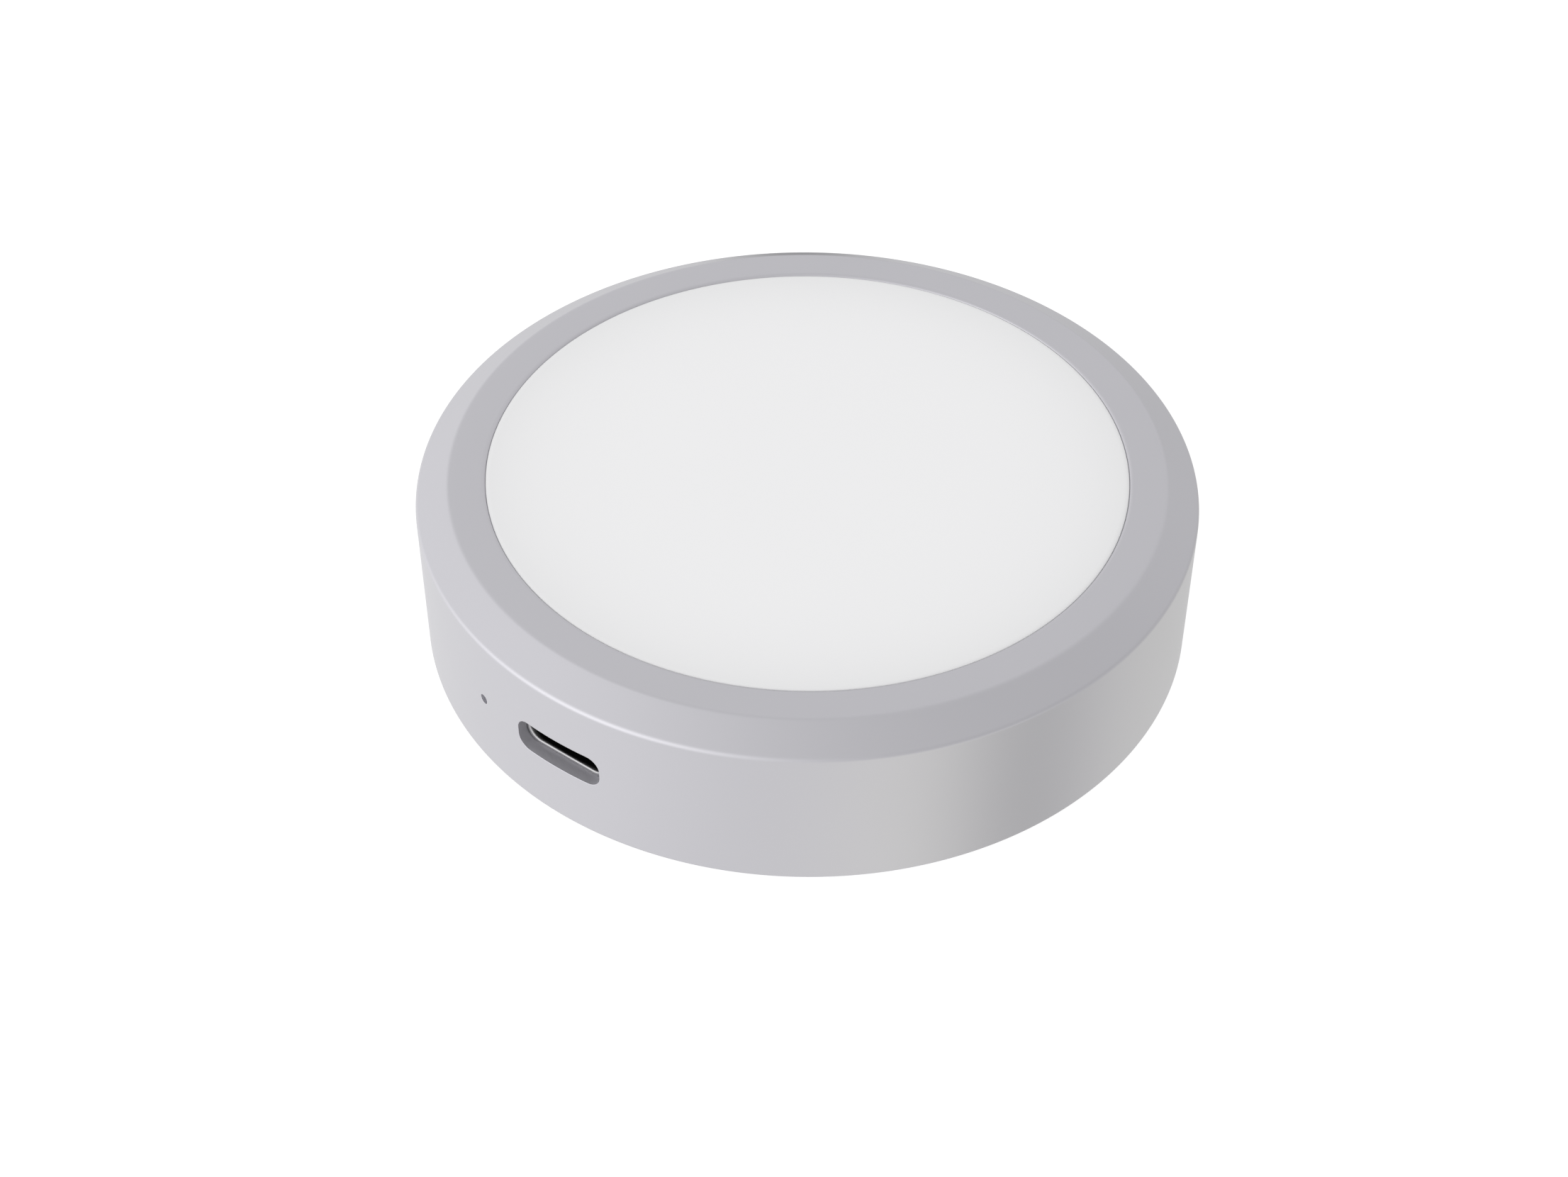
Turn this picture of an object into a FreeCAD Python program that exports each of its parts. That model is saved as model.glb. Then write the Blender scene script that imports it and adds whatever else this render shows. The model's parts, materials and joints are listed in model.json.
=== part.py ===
import FreeCAD, Part
import os
import re
from math import cos, pi, sin

import Sketcher

# Round desktop USB hub with a charging surface.
#
# Frame: millimetres, +Z up, origin at the centre of the rubber foot's underside.
# The front USB-C port faces -Y. Angles are measured from +X towards +Y.

SIZES = [
    # alias, value, what it is
    ("top_z", 17.0, "height of the flat top ring"),
    ("wall_foot_z", 0.5, "height of the wall's lower edge above the table"),
    ("body_radius", 36.5, "outside of the wall"),
    ("ring_radius", 33.4, "outer edge of the flat top ring"),
    ("bevel_drop", 1.88, "height of the bevel between the ring and the wall"),
    ("bore_radius", 29.97, "opening that the top disc sits in"),
    ("inner_radius", 34.5, "inside of the wall"),
    ("web_thickness", 1.2, "shelf that carries the top disc"),
    ("ledge_radius", 27.4, "inner edge of that shelf"),
    ("bevel_fillet", 0.4, "rounding between bevel and wall"),
    ("crease_fillet", 0.7, "rounding between ring and bevel"),
    ("bore_fillet", 0.27, "rounding of the opening's edge"),
    ("foot_chamfer", 0.1, "chamfer of the wall's lower edge"),
    ("disc_radius", 29.87, "top disc"),
    ("disc_thickness", 1.5, "top disc"),
    ("disc_step", 0.06, "top disc's surface below the ring"),
    ("disc_fillet", 0.22, "rounding of the disc's upper edge"),
    ("glue_thickness", 0.15, "adhesive ring under the disc"),
    ("glue_inner", 27.8, "adhesive ring"),
    ("glue_outer", 29.6, "adhesive ring"),
    ("port_z", 8.2, "height of the middle of every port"),
    ("usb_c_width", 8.94, "USB-C shell, outside"),
    ("usb_c_height", 3.26, "USB-C shell, outside"),
    ("usb_c_depth", 7.35, "USB-C receptacle, front to back"),
    ("usb_c_corner", 1.4, "USB-C shell, outside corner"),
    ("usb_c_wall", 0.3, "USB-C shell sheet"),
    ("usb_c_mouth_height", 2.56, "USB-C mouth"),
    ("usb_c_mouth_corner", 1.25, "USB-C mouth"),
    ("usb_c_side_gap", 0.17, "gap between shell and cut-out, at each end"),
    ("usb_c_top_gap", 0.04, "gap between shell and cut-out, above and below"),
    ("usb_c_cut_corner", 1.31, "cut-out's corner"),
    ("usb_c_flat", 35.2, "milled flat behind a USB-C cut-out, from the axis"),
    ("tongue_width", 6.69, "USB-C tongue"),
    ("tongue_thickness", 0.7, "USB-C tongue"),
    ("tongue_reach", 6.45, "USB-C tongue, from its tip to the receptacle's back"),
    ("step_width", 7.4, "root of the USB-C tongue"),
    ("step_thickness", 1.1, "root of the USB-C tongue"),
    ("step_length", 1.7, "root of the USB-C tongue"),
    ("usb_c_back", 1.15, "USB-C insulator's back wall"),
    ("strip_pitch", 0.5, "USB-C contact strips"),
    ("strip_width", 0.28, "USB-C contact strips"),
    ("strip_length", 3.1, "USB-C contact strips"),
    ("strip_thickness", 0.05, "USB-C contact strips"),
    ("strip_middle", 3.0, "USB-C contact strips' middle, behind the mouth"),
    ("foot_tab_width", 1.7, "USB-C shell's solder tabs"),
    ("foot_tab_length", 1.1, "USB-C shell's solder tabs"),
    ("foot_tab_out", 4.27, "those tabs' middle, from the middle line"),
    ("usb_a_width", 13.1, "USB-A shell, outside"),
    ("usb_a_height", 5.72, "USB-A shell, outside"),
    ("usb_a_depth", 14.0, "USB-A receptacle, front to back"),
    ("usb_a_wall", 0.3, "USB-A shell sheet"),
    ("usb_a_corner", 0.6, "USB-A shell, outside corner"),
    ("usb_a_side_gap", 0.2, "gap between shell and cut-out, at each end"),
    ("usb_a_top_gap", 0.2, "gap between shell and cut-out, above and below"),
    ("usb_a_cut_corner", 0.8, "cut-out's corner"),
    ("usb_a_flat", 35.0, "milled flat behind a USB-A cut-out, from the axis"),
    ("blade_width", 11.1, "USB-A tongue"),
    ("blade_thickness", 1.84, "USB-A tongue"),
    ("blade_recess", 1.25, "USB-A tongue's tip, behind the mouth"),
    ("usb_a_back", 1.9, "USB-A insulator's back wall"),
    ("pin_pitch", 2.3, "USB-A contacts"),
    ("pin_width", 1.1, "USB-A contacts"),
    ("pin_length", 7.0, "USB-A contacts"),
    ("pin_thickness", 0.08, "USB-A contacts"),
    ("pin_middle", 5.5, "USB-A contacts' middle, behind the mouth"),
    ("window_width", 2.2, "windows of the USB-A shell's leaf springs"),
    ("window_length", 4.5, "windows of the USB-A shell's leaf springs"),
    ("window_middle", 5.2, "those windows' middle, behind the mouth"),
    ("window_out", 3.0, "those windows, from the middle line"),
    ("face_gap", 0.05, "receptacle face behind its milled flat"),
    ("plug_gap", 0.02, "insulator block inside its shell"),
    ("root_overlap", 0.2, "how far a tongue runs into its back wall"),
    ("side_port_angle", 30.0, "USB-A ports each side of the rear USB-C port"),
    ("pinhole_radius", 0.48, "status light hole"),
    ("pinhole_angle", 15.27, "status light hole, beside the front port"),
    ("board_radius", 33.4, "circuit board"),
    ("board_thickness", 1.2, "circuit board"),
    ("slot_play", 0.1, "board's slots round the sunk USB-A receptacles"),
    ("pillar_circle", 32.3, "cover pillars, from the axis"),
    ("pillar_radius", 2.5, "cover pillars"),
    ("boss_circle", 31.0, "board bosses, from the axis"),
    ("boss_radius", 2.2, "board bosses"),
    ("thread_radius", 1.0, "M2 threaded hole"),
    ("thread_depth", 5.0, "M2 threaded hole"),
    ("screw_play", 0.1, "plain holes that screws pass through"),
    ("pillar_play", 0.4, "notches round the cover pillars"),
    ("boss_play", 0.2, "holes round the board bosses"),
    ("cover_seat_radius", 35.5, "seat for the bottom cover"),
    ("cover_radius", 35.4, "bottom cover"),
    ("cover_thickness", 1.2, "bottom cover"),
    ("foot_outer", 34.6, "rubber foot ring"),
    ("foot_inner", 28.8, "rubber foot ring"),
    ("foot_sink", 0.3, "foot ring's groove in the cover"),
    ("foot_play", 0.05, "foot ring in its groove"),
    ("foot_bevel", 0.25, "foot ring's lower edges"),
    ("coil_inner", 10.5, "charging coil"),
    ("coil_wire", 1.1, "charging coil's wire"),
    ("coil_pitch", 1.08, "charging coil, turn to turn"),
    ("coil_gap", 0.05, "between the coil and the disc"),
    ("ferrite_radius", 23.0, "ferrite sheet"),
    ("ferrite_thickness", 0.8, "ferrite sheet"),
    ("tray_radius", 25.5, "carrier's tray for the coil"),
    ("tray_floor", 1.0, "carrier's floor"),
    ("carrier_radius", 33.6, "coil carrier"),
    ("carrier_screw_circle", 30.8, "carrier screws, from the axis"),
    ("carrier_thread_radius", 0.8, "M1.6 threaded hole"),
    ("carrier_thread_depth", 2.0, "M1.6 threaded hole"),
    ("lead_radius", 0.5, "coil lead"),
    ("lead_bend", 1.0, "coil lead's bend"),
    ("lead_clearance", 0.4, "holes that the coil leads pass through"),
    ("lead_gap", 0.02, "coil lead's end, from the winding"),
    ("outer_lead_at", 24.1, "outer coil lead, from the axis"),
    ("inner_lead_at", 7.6, "inner coil lead, from the axis"),
    ("chip_height", 0.9, "controller chips"),
    ("dimple_radius", 0.4, "pin-one mark of a chip"),
    ("dimple_depth", 0.05, "pin-one mark of a chip"),
    ("dimple_inset", 1.0, "pin-one mark, from the chip's edges"),
    ("can_y", 2.0, "shield can and thermal pad, behind the axis"),
    ("can_width", 15.0, "shield can, square"),
    ("can_height", 1.7, "shield can"),
    ("can_sheet", 0.2, "shield can"),
    ("inductor_width", 6.6, "power inductor"),
    ("inductor_depth", 6.4, "power inductor"),
    ("inductor_height", 2.8, "power inductor"),
    ("inductor_lift", 0.15, "power inductor's body above the board"),
    ("terminal_width", 1.2, "power inductor's terminals"),
    ("terminal_depth", 3.0, "power inductor's terminals"),
    ("terminal_height", 0.3, "power inductor's terminals"),
    ("terminal_out", 2.7, "power inductor's terminals, from its middle"),
    ("base_width", 5.3, "bulk capacitor's base"),
    ("base_height", 0.8, "bulk capacitor's base"),
    ("tin_radius", 2.5, "bulk capacitor's can"),
    ("tin_height", 4.8, "bulk capacitor's can, from the board"),
    ("crystal_width", 3.2, "clock crystal"),
    ("crystal_depth", 2.5, "clock crystal"),
    ("crystal_height", 0.7, "clock crystal"),
    ("crystal_x", 10.0, "clock crystal, from the axis"),
    ("crystal_y", 9.0, "clock crystal, from the axis"),
    ("transistor_width", 3.3, "power transistor, square"),
    ("transistor_height", 0.8, "power transistor"),
    ("ceramic_length", 1.6, "ceramic capacitor"),
    ("ceramic_width", 0.8, "ceramic capacitor, wide and high"),
    ("ceramic_circle", 12.0, "ceramic capacitors, from the shield can's middle"),
    ("resistor_length", 1.0, "chip resistor"),
    ("resistor_width", 0.5, "chip resistor"),
    ("resistor_height", 0.35, "chip resistor"),
    ("resistor_circle", 25.5, "chip resistors, from the axis"),
    ("esd_length", 2.5, "surge protection array"),
    ("esd_width", 1.0, "surge protection array"),
    ("esd_height", 0.5, "surge protection array"),
    ("esd_circle", 24.4, "surge protection arrays, from the axis"),
    ("led_length", 0.8, "status light-emitting diode"),
    ("led_width", 1.6, "status light-emitting diode"),
    ("led_height", 0.6, "status light-emitting diode"),
    ("led_circle", 31.4, "status light-emitting diode, from the axis"),
    ("pipe_length", 3.4, "light pipe's block"),
    ("pipe_width", 2.4, "light pipe's block"),
    ("pipe_height", 2.2, "light pipe's block"),
    ("pipe_middle", 31.7, "light pipe's block, from the axis"),
    ("pipe_lift", 0.75, "light pipe's block above the board"),
    ("nose_start", 32.5, "light pipe's nose, from the axis"),
    ("nose_length", 3.2, "light pipe's nose"),
    ("nose_clearance", 0.03, "light pipe's nose in the pinhole"),
    ("pad_width", 16.0, "thermal pad, square"),
    ("shaft_clearance", 0.02, "screw shaft in its thread"),
    ("cover_shaft", 4.9, "cover screw"),
    ("cover_head_radius", 1.85, "cover screw's flat head"),
    ("cover_head_height", 0.48, "cover screw's flat head"),
    ("head_recess_radius", 1.95, "recess for a cover screw's head"),
    ("head_recess_depth", 0.5, "recess for a cover screw's head"),
    ("board_shaft", 4.8, "board screw"),
    ("board_head_radius", 1.9, "board screw's head"),
    ("board_head_height", 1.1, "board screw's head"),
    ("carrier_shaft", 3.2, "carrier screw"),
    ("carrier_head_radius", 1.4, "carrier screw's head"),
    ("carrier_head_height", 0.8, "carrier screw's head"),
    ("drive_width", 0.9, "square drive recess of the larger screws"),
    ("small_drive_width", 0.7, "square drive recess of the carrier screws"),
    ("drive_share", 0.6, "a drive recess's depth, as a share of its head's height"),
    ("neck", 0.1, "how far a screw's shaft runs into its head"),
    ("overcut", 0.5, "how far a cutting shape stands proud of what it cuts"),
]

FRONT = -90.0
REAR = 90.0
PILLAR_ANGLES = (30, 150, 225, 315)
BOSS_ANGLES = (0, 180, 240, 300)
CARRIER_SCREW_ANGLES = (90, 202, 338)
COIL_TURNS = 10

# Small parts on the board: places in millimetres from the axis, or angles on a circle.
CHIPS = [
    # name, width, depth, x, y, turn
    ("hub_controller", 10, 10, 0, 2, 45),
    ("charging_controller", 7, 7, -15, -6, 0),
]
INDUCTOR_SPOTS = [(15, -6), (17, 3), (-18, 3)]
CAPACITOR_SPOTS = [(-6, -16), (6, -16), (-12, -17)]
TRANSISTOR_SPOTS = [(20, -12), (15, -15), (-20, -13), (22, -6)]
CERAMIC_ANGLES = range(15, 360, 30)
RESISTOR_ANGLES = [*range(178, 250, 8), *range(290, 362, 8)]
ESD_ANGLES = (86, 94, 262, 278)

# Receptacles: solder tabs' places behind the mouth, and contacts on each side of a tongue.
USB_C_TAB_ROWS = (3.0, 6.2)
USB_C_STRIPS = 12
USB_A_PINS = 4

# Heights that follow from the sizes, as formulas of them.
LEDGE_Z = "(top_z - disc_step - disc_thickness - glue_thickness)"
WEB_Z = f"({LEDGE_Z} - web_thickness)"
COVER_TOP_Z = "(wall_foot_z + cover_thickness)"
BOARD_TOP_Z = "(port_z - usb_c_height / 2)"
BOARD_Z = f"({BOARD_TOP_Z} - board_thickness)"
DISC_Z = "(top_z - disc_step - disc_thickness)"
COIL_Z = f"({DISC_Z} - coil_gap - coil_wire)"
FERRITE_Z = f"({COIL_Z} - ferrite_thickness)"
CARRIER_Z = f"({FERRITE_Z} - tray_floor)"
PINHOLE_DIRECTION = f"({FRONT} - pinhole_angle)"

doc = FreeCAD.newDocument("usb_hub")
sheet = doc.addObject("Spreadsheet::Sheet", "Sizes")
ALIASES = {alias for alias, _, _ in SIZES}
NODES = []


def fill_sheet():
    for row, (alias, value, meaning) in enumerate(SIZES, start=1):
        sheet.set(f"A{row}", alias)
        sheet.set(f"B{row}", str(value))
        sheet.setAlias(f"B{row}", alias)
        sheet.set(f"C{row}", meaning)
    doc.recompute()


def formula(text):
    """The same formula with its size names read from the sheet."""
    text = str(text)
    return re.sub(
        r"[a-z_]+", lambda m: f"Sizes.{m[0]}" if m[0] in ALIASES else m[0], text
    )


def size(text):
    """The value of a formula, in millimetres."""
    return float(sheet.evalExpression(formula(text)))


def bind(target, **sizes):
    """Ties properties of a feature to formulas of the sheet's sizes."""
    for name, text in sizes.items():
        target.setExpression(name, formula(text))
    return target


def place(target, x="0", y="0", z="0", turn=None):
    """Ties a feature's position, and its turn about Z, to formulas."""
    for axis, text in zip("xyz", (x, y, z)):
        target.setExpression(f"Placement.Base.{axis}", formula(text))
    if turn is not None:
        target.Placement.Rotation = FreeCAD.Rotation(FreeCAD.Vector(0, 0, 1), size(turn))
    return target


def on_circle(target, circle, angle, z="0", turn=None):
    """Places a feature at an angle on a circle about the axis."""
    if turn is None:
        turn = angle
    x = f"{circle} * cos({angle})"
    y = f"{circle} * sin({angle})"
    return place(target, x, y, z, turn)


def node(label, target):
    """Names a finished sub-part; its label is its file's name."""
    target.Label = label
    NODES.append(target)
    return target


# --- sketches and PartDesign features ---------------------------------------------


def new_body(name):
    return doc.addObject("PartDesign::Body", name)


def sketch_on(body, name, plane, z=None):
    """A sketch on one of the body's own planes, raised along that plane's normal."""
    sketch = body.newObject("Sketcher::SketchObject", name)
    origin_plane = next(o for o in body.Origin.OriginFeatures if o.Role == plane)
    sketch.AttachmentSupport = [(origin_plane, "")]
    sketch.MapMode = "FlatFace"
    if z is not None:
        sketch.setExpression("AttachmentOffset.Base.z", formula(z))
    return sketch


def sketch_facing(body, name, direction, out="0"):
    """An upright sketch that faces a direction, at a distance from the axis."""
    sketch = sketch_on(body, name, "XZ_Plane")
    turn = f"({direction} - ({FRONT}))"
    upright = FreeCAD.Vector(0, 1, 0)
    rotation = FreeCAD.Rotation(upright, size(turn))
    sketch.AttachmentOffset = FreeCAD.Placement(FreeCAD.Vector(), rotation)
    sketch.setExpression("AttachmentOffset.Base.x", formula(f"({out}) * sin({turn})"))
    sketch.setExpression("AttachmentOffset.Base.z", formula(f"({out}) * cos({turn})"))
    return sketch


def constrain(sketch, kind, *what):
    """A constraint whose last item is the formula of its value."""
    text = what[-1]
    index = sketch.addConstraint(Sketcher.Constraint(kind, *what[:-1], size(text)))
    sketch.setExpression(f"Constraints[{index}]", formula(text))


def draw_outline(sketch, points):
    """A closed outline of straight lines through points given as formulas."""
    spots = [FreeCAD.Vector(size(x), size(y), 0) for x, y in points]
    count = len(spots)
    for i in range(count):
        sketch.addGeometry(Part.LineSegment(spots[i], spots[(i + 1) % count]))
    for i, (x, y) in enumerate(points):
        before = (i - 1) % count
        sketch.addConstraint(Sketcher.Constraint("Coincident", before, 2, i, 1))
        constrain(sketch, "DistanceX", -1, 1, i, 1, x)
        constrain(sketch, "DistanceY", -1, 1, i, 1, y)


def draw_block(sketch, half_width, low, high):
    """A rectangle centred on the sketch's vertical axis, from one height to another."""
    left = f"0 - {half_width}"
    corners = [(left, low), (half_width, low), (half_width, high), (left, high)]
    draw_outline(sketch, corners)


def draw_circle(sketch, radius, x="0", y="0"):
    centre = FreeCAD.Vector(size(x), size(y), 0)
    up = FreeCAD.Vector(0, 0, 1)
    circle = sketch.addGeometry(Part.Circle(centre, up, size(radius)))
    constrain(sketch, "DistanceX", -1, 1, circle, 3, x)
    constrain(sketch, "DistanceY", -1, 1, circle, 3, y)
    constrain(sketch, "Radius", circle, radius)


def draw_circles(sketch, radius, circle, angles):
    """Equal circles at the given angles on a larger circle."""
    for angle in angles:
        draw_circle(sketch, radius, f"{circle} * cos({angle})", f"{circle} * sin({angle})")


def draw_rounded_rectangle(sketch, width, height, corner, y="0"):
    """A rectangle with round corners, centred on the sketch's vertical axis."""
    half_w, half_h, r = size(width) / 2, size(height) / 2, size(corner)
    middle = size(y)
    spots = [
        ((-half_w + r, -half_h), (half_w - r, -half_h), (half_w - r, -half_h + r)),
        ((half_w, -half_h + r), (half_w, half_h - r), (half_w - r, half_h - r)),
        ((half_w - r, half_h), (-half_w + r, half_h), (-half_w + r, half_h - r)),
        ((-half_w, half_h - r), (-half_w, -half_h + r), (-half_w + r, -half_h + r)),
    ]
    sides, corners = [], []
    up = FreeCAD.Vector(0, 0, 1)
    for turn, (start, end, centre) in enumerate(spots):
        start, end, centre = (
            FreeCAD.Vector(px, py + middle, 0) for px, py in (start, end, centre)
        )
        sides.append(sketch.addGeometry(Part.LineSegment(start, end)))
        arc_from, arc_to = (turn - 1) * pi / 2, turn * pi / 2
        arc = Part.ArcOfCircle(Part.Circle(centre, up, r), arc_from, arc_to)
        corners.append(sketch.addGeometry(arc))
    for k in range(4):
        following = sides[(k + 1) % 4]
        sketch.addConstraint(Sketcher.Constraint("Tangent", sides[k], 2, corners[k], 1))
        sketch.addConstraint(Sketcher.Constraint("Tangent", corners[k], 2, following, 1))
    for k in (1, 2, 3):
        sketch.addConstraint(Sketcher.Constraint("Equal", corners[0], corners[k]))
    sketch.addConstraint(Sketcher.Constraint("Symmetric", sides[0], 1, sides[0], 2, -2))
    sketch.addConstraint(Sketcher.Constraint("Horizontal", sides[2]))
    sketch.addConstraint(Sketcher.Constraint("Vertical", sides[1]))
    sketch.addConstraint(Sketcher.Constraint("Vertical", sides[3]))
    constrain(sketch, "Radius", corners[0], corner)
    constrain(sketch, "DistanceX", sides[3], 1, sides[1], 1, width)
    constrain(sketch, "DistanceY", sides[0], 1, sides[2], 1, height)
    constrain(sketch, "DistanceY", -1, 1, sides[0], 1, f"{y} - ({height}) / 2")


def revolve(body, name, points, plane="XZ_Plane"):
    """Turns an outline of (radius, height) points about Z."""
    outline = sketch_on(body, f"{name}_outline", plane)
    draw_outline(outline, points)
    turned = body.newObject("PartDesign::Revolution", name)
    turned.Profile = outline
    turned.ReferenceAxis = (outline, ["V_Axis"])
    turned.Angle = 360.0
    doc.recompute()
    return turned


def pad(body, name, sketch, length):
    made = body.newObject("PartDesign::Pad", name)
    made.Profile = sketch
    bind(made, Length=length)
    doc.recompute()
    return made


def pocket(body, name, sketch, length, along_normal):
    """Cuts a sketch into the body and checks that it removed something."""
    before = body.Shape.Volume
    made = body.newObject("PartDesign::Pocket", name)
    made.Profile = sketch
    made.Reversed = along_normal
    bind(made, Length=length)
    doc.recompute()
    if not body.Shape.Volume < before:
        raise RuntimeError(f"{body.Name}: {name} cut nothing")
    return made


def circles_at(shape, radius, height):
    """Names of the full circular edges of one radius at one height."""
    found = []
    for number, edge in enumerate(shape.Edges, start=1):
        if not isinstance(edge.Curve, Part.Circle):
            continue
        same_radius = abs(edge.Curve.Radius - size(radius)) < 1e-4
        same_height = abs(edge.Curve.Center.z - size(height)) < 1e-4
        if same_radius and same_height:
            found.append(f"Edge{number}")
    return found


def soften(body, kind, name, radius, height, amount):
    """A fillet or chamfer round one circular edge."""
    base = body.Tip
    edges = circles_at(base.Shape, radius, height)
    made = body.newObject(f"PartDesign::{kind}", name)
    made.Base = (base, edges)
    bind(made, **{"Radius" if kind == "Fillet" else "Size": amount})
    doc.recompute()
    return made


# --- Part primitives --------------------------------------------------------------


def box(name, width, depth, height, x="0", y="0", z="0"):
    """A block centred on x and y that stands on z."""
    made = doc.addObject("Part::Box", name)
    bind(made, Length=width, Width=depth, Height=height)
    return place(made, f"{x} - ({width}) / 2", f"{y} - ({depth}) / 2", z)


def cylinder(name, radius, height, x="0", y="0", z="0"):
    made = doc.addObject("Part::Cylinder", name)
    bind(made, Radius=radius, Height=height)
    return place(made, x, y, z)


def cut(name, base, tool):
    made = doc.addObject("Part::Cut", name)
    made.Base, made.Tool = base, tool
    return made


def fuse(name, shapes):
    made = doc.addObject("Part::MultiFuse", name)
    made.Shapes = shapes
    return made


def group(name, shapes):
    """Separate solids that share one node."""
    made = doc.addObject("Part::Compound", name)
    made.Links = shapes
    return made


# --- housing and covers -----------------------------------------------------------


def port_directions():
    """(name, kind, direction that the port faces) of every port."""
    return [
        ("front_usb_c", "usb_c", f"{FRONT}"),
        ("rear_usb_c", "usb_c", f"{REAR}"),
        ("left_usb_a", "usb_a", f"({REAR} + side_port_angle)"),
        ("right_usb_a", "usb_a", f"({REAR} - side_port_angle)"),
    ]


def cut_port(body, name, kind, direction):
    """The opening in the wall, and the flat behind it that runs down to the cover."""
    opening = sketch_facing(body, f"{name}_opening_outline", direction)
    draw_rounded_rectangle(
        opening,
        f"{kind}_width + 2 * {kind}_side_gap",
        f"{kind}_height + 2 * {kind}_top_gap",
        f"{kind}_cut_corner",
        "port_z",
    )
    pocket(body, f"{name}_opening", opening, "body_radius + overcut", True)
    flat = sketch_facing(body, f"{name}_flat_outline", direction)
    top = f"(port_z + {kind}_height / 2 + 2 * {kind}_top_gap)"
    half = f"({kind}_width / 2 + 2 * {kind}_side_gap)"
    draw_block(flat, half, COVER_TOP_Z, top)
    pocket(body, f"{name}_flat", flat, f"{kind}_flat", True)


def make_housing():
    """The aluminium body: wall, bevel, top ring and the shelf under the disc."""
    body = new_body("housing_body")
    revolve(
        body,
        "shell",
        [
            ("cover_seat_radius", "wall_foot_z"),
            ("body_radius", "wall_foot_z"),
            ("body_radius", "top_z - bevel_drop"),
            ("ring_radius", "top_z"),
            ("bore_radius", "top_z"),
            ("bore_radius", LEDGE_Z),
            ("ledge_radius", LEDGE_Z),
            ("ledge_radius", WEB_Z),
            ("inner_radius", WEB_Z),
            ("inner_radius", COVER_TOP_Z),
            ("cover_seat_radius", COVER_TOP_Z),
        ],
    )
    soften(body, "Fillet", "bevel_edge", "body_radius", "top_z - bevel_drop", "bevel_fillet")
    soften(body, "Fillet", "ring_edge", "ring_radius", "top_z", "crease_fillet")
    soften(body, "Fillet", "opening_edge", "bore_radius", "top_z", "bore_fillet")
    soften(body, "Chamfer", "lower_edge", "body_radius", "wall_foot_z", "foot_chamfer")

    pillars = sketch_on(body, "pillar_outline", "XY_Plane", z=COVER_TOP_Z)
    draw_circles(pillars, "pillar_radius", "pillar_circle", PILLAR_ANGLES)
    pad(body, "cover_pillars", pillars, f"{WEB_Z} - {COVER_TOP_Z}")
    bosses = sketch_on(body, "boss_outline", "XY_Plane", z=BOARD_TOP_Z)
    draw_circles(bosses, "boss_radius", "boss_circle", BOSS_ANGLES)
    pad(body, "board_bosses", bosses, f"{WEB_Z} - {BOARD_TOP_Z}")

    pillar_holes = sketch_on(body, "pillar_holes_outline", "XY_Plane", z=COVER_TOP_Z)
    draw_circles(pillar_holes, "thread_radius", "pillar_circle", PILLAR_ANGLES)
    pocket(body, "pillar_holes", pillar_holes, "thread_depth", True)
    boss_holes = sketch_on(body, "boss_holes_outline", "XY_Plane", z=BOARD_TOP_Z)
    draw_circles(boss_holes, "thread_radius", "boss_circle", BOSS_ANGLES)
    pocket(body, "boss_holes", boss_holes, "thread_depth", True)
    web_holes = sketch_on(body, "web_holes_outline", "XY_Plane", z=WEB_Z)
    draw_circles(web_holes, "carrier_thread_radius", "carrier_screw_circle", CARRIER_SCREW_ANGLES)
    pocket(body, "web_holes", web_holes, "carrier_thread_depth", True)

    for name, kind, direction in port_directions():
        cut_port(body, name, kind, direction)
    pinhole = sketch_facing(body, "pinhole_outline", PINHOLE_DIRECTION)
    draw_circle(pinhole, "pinhole_radius", "0", "port_z")
    pocket(body, "pinhole", pinhole, "body_radius + overcut", True)
    return node("housing", body)


def make_top_disc():
    body = new_body("disc_body")
    outline = sketch_on(body, "disc_outline", "XY_Plane", z=DISC_Z)
    draw_circle(outline, "disc_radius")
    pad(body, "disc", outline, "disc_thickness")
    soften(body, "Fillet", "disc_edge", "disc_radius", "top_z - disc_step", "disc_fillet")
    return node("top_disc", body)


def make_adhesive_ring():
    body = new_body("adhesive_body")
    outline = sketch_on(body, "adhesive_outline", "XY_Plane", z=LEDGE_Z)
    draw_circle(outline, "glue_outer")
    draw_circle(outline, "glue_inner")
    pad(body, "adhesive", outline, "glue_thickness")
    return node("disc_adhesive_ring", body)


def make_bottom_cover():
    """The plate in the housing's lower rabbet, with a groove for the foot ring."""
    body = new_body("cover_body")
    groove_z = "(wall_foot_z + foot_sink)"
    revolve(
        body,
        "plate",
        [
            ("0", "wall_foot_z"),
            ("foot_inner", "wall_foot_z"),
            ("foot_inner", groove_z),
            ("foot_outer", groove_z),
            ("foot_outer", "wall_foot_z"),
            ("cover_radius", "wall_foot_z"),
            ("cover_radius", COVER_TOP_Z),
            ("0", COVER_TOP_Z),
        ],
    )
    holes = sketch_on(body, "screw_holes_outline", "XY_Plane", z=COVER_TOP_Z)
    draw_circles(holes, "thread_radius + screw_play", "pillar_circle", PILLAR_ANGLES)
    pocket(body, "screw_holes", holes, "cover_thickness", False)
    sinks = sketch_on(body, "head_recess_outline", "XY_Plane", z=groove_z)
    draw_circles(sinks, "head_recess_radius", "pillar_circle", PILLAR_ANGLES)
    pocket(body, "head_recesses", sinks, "head_recess_depth", True)
    return node("bottom_cover", body)


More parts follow.
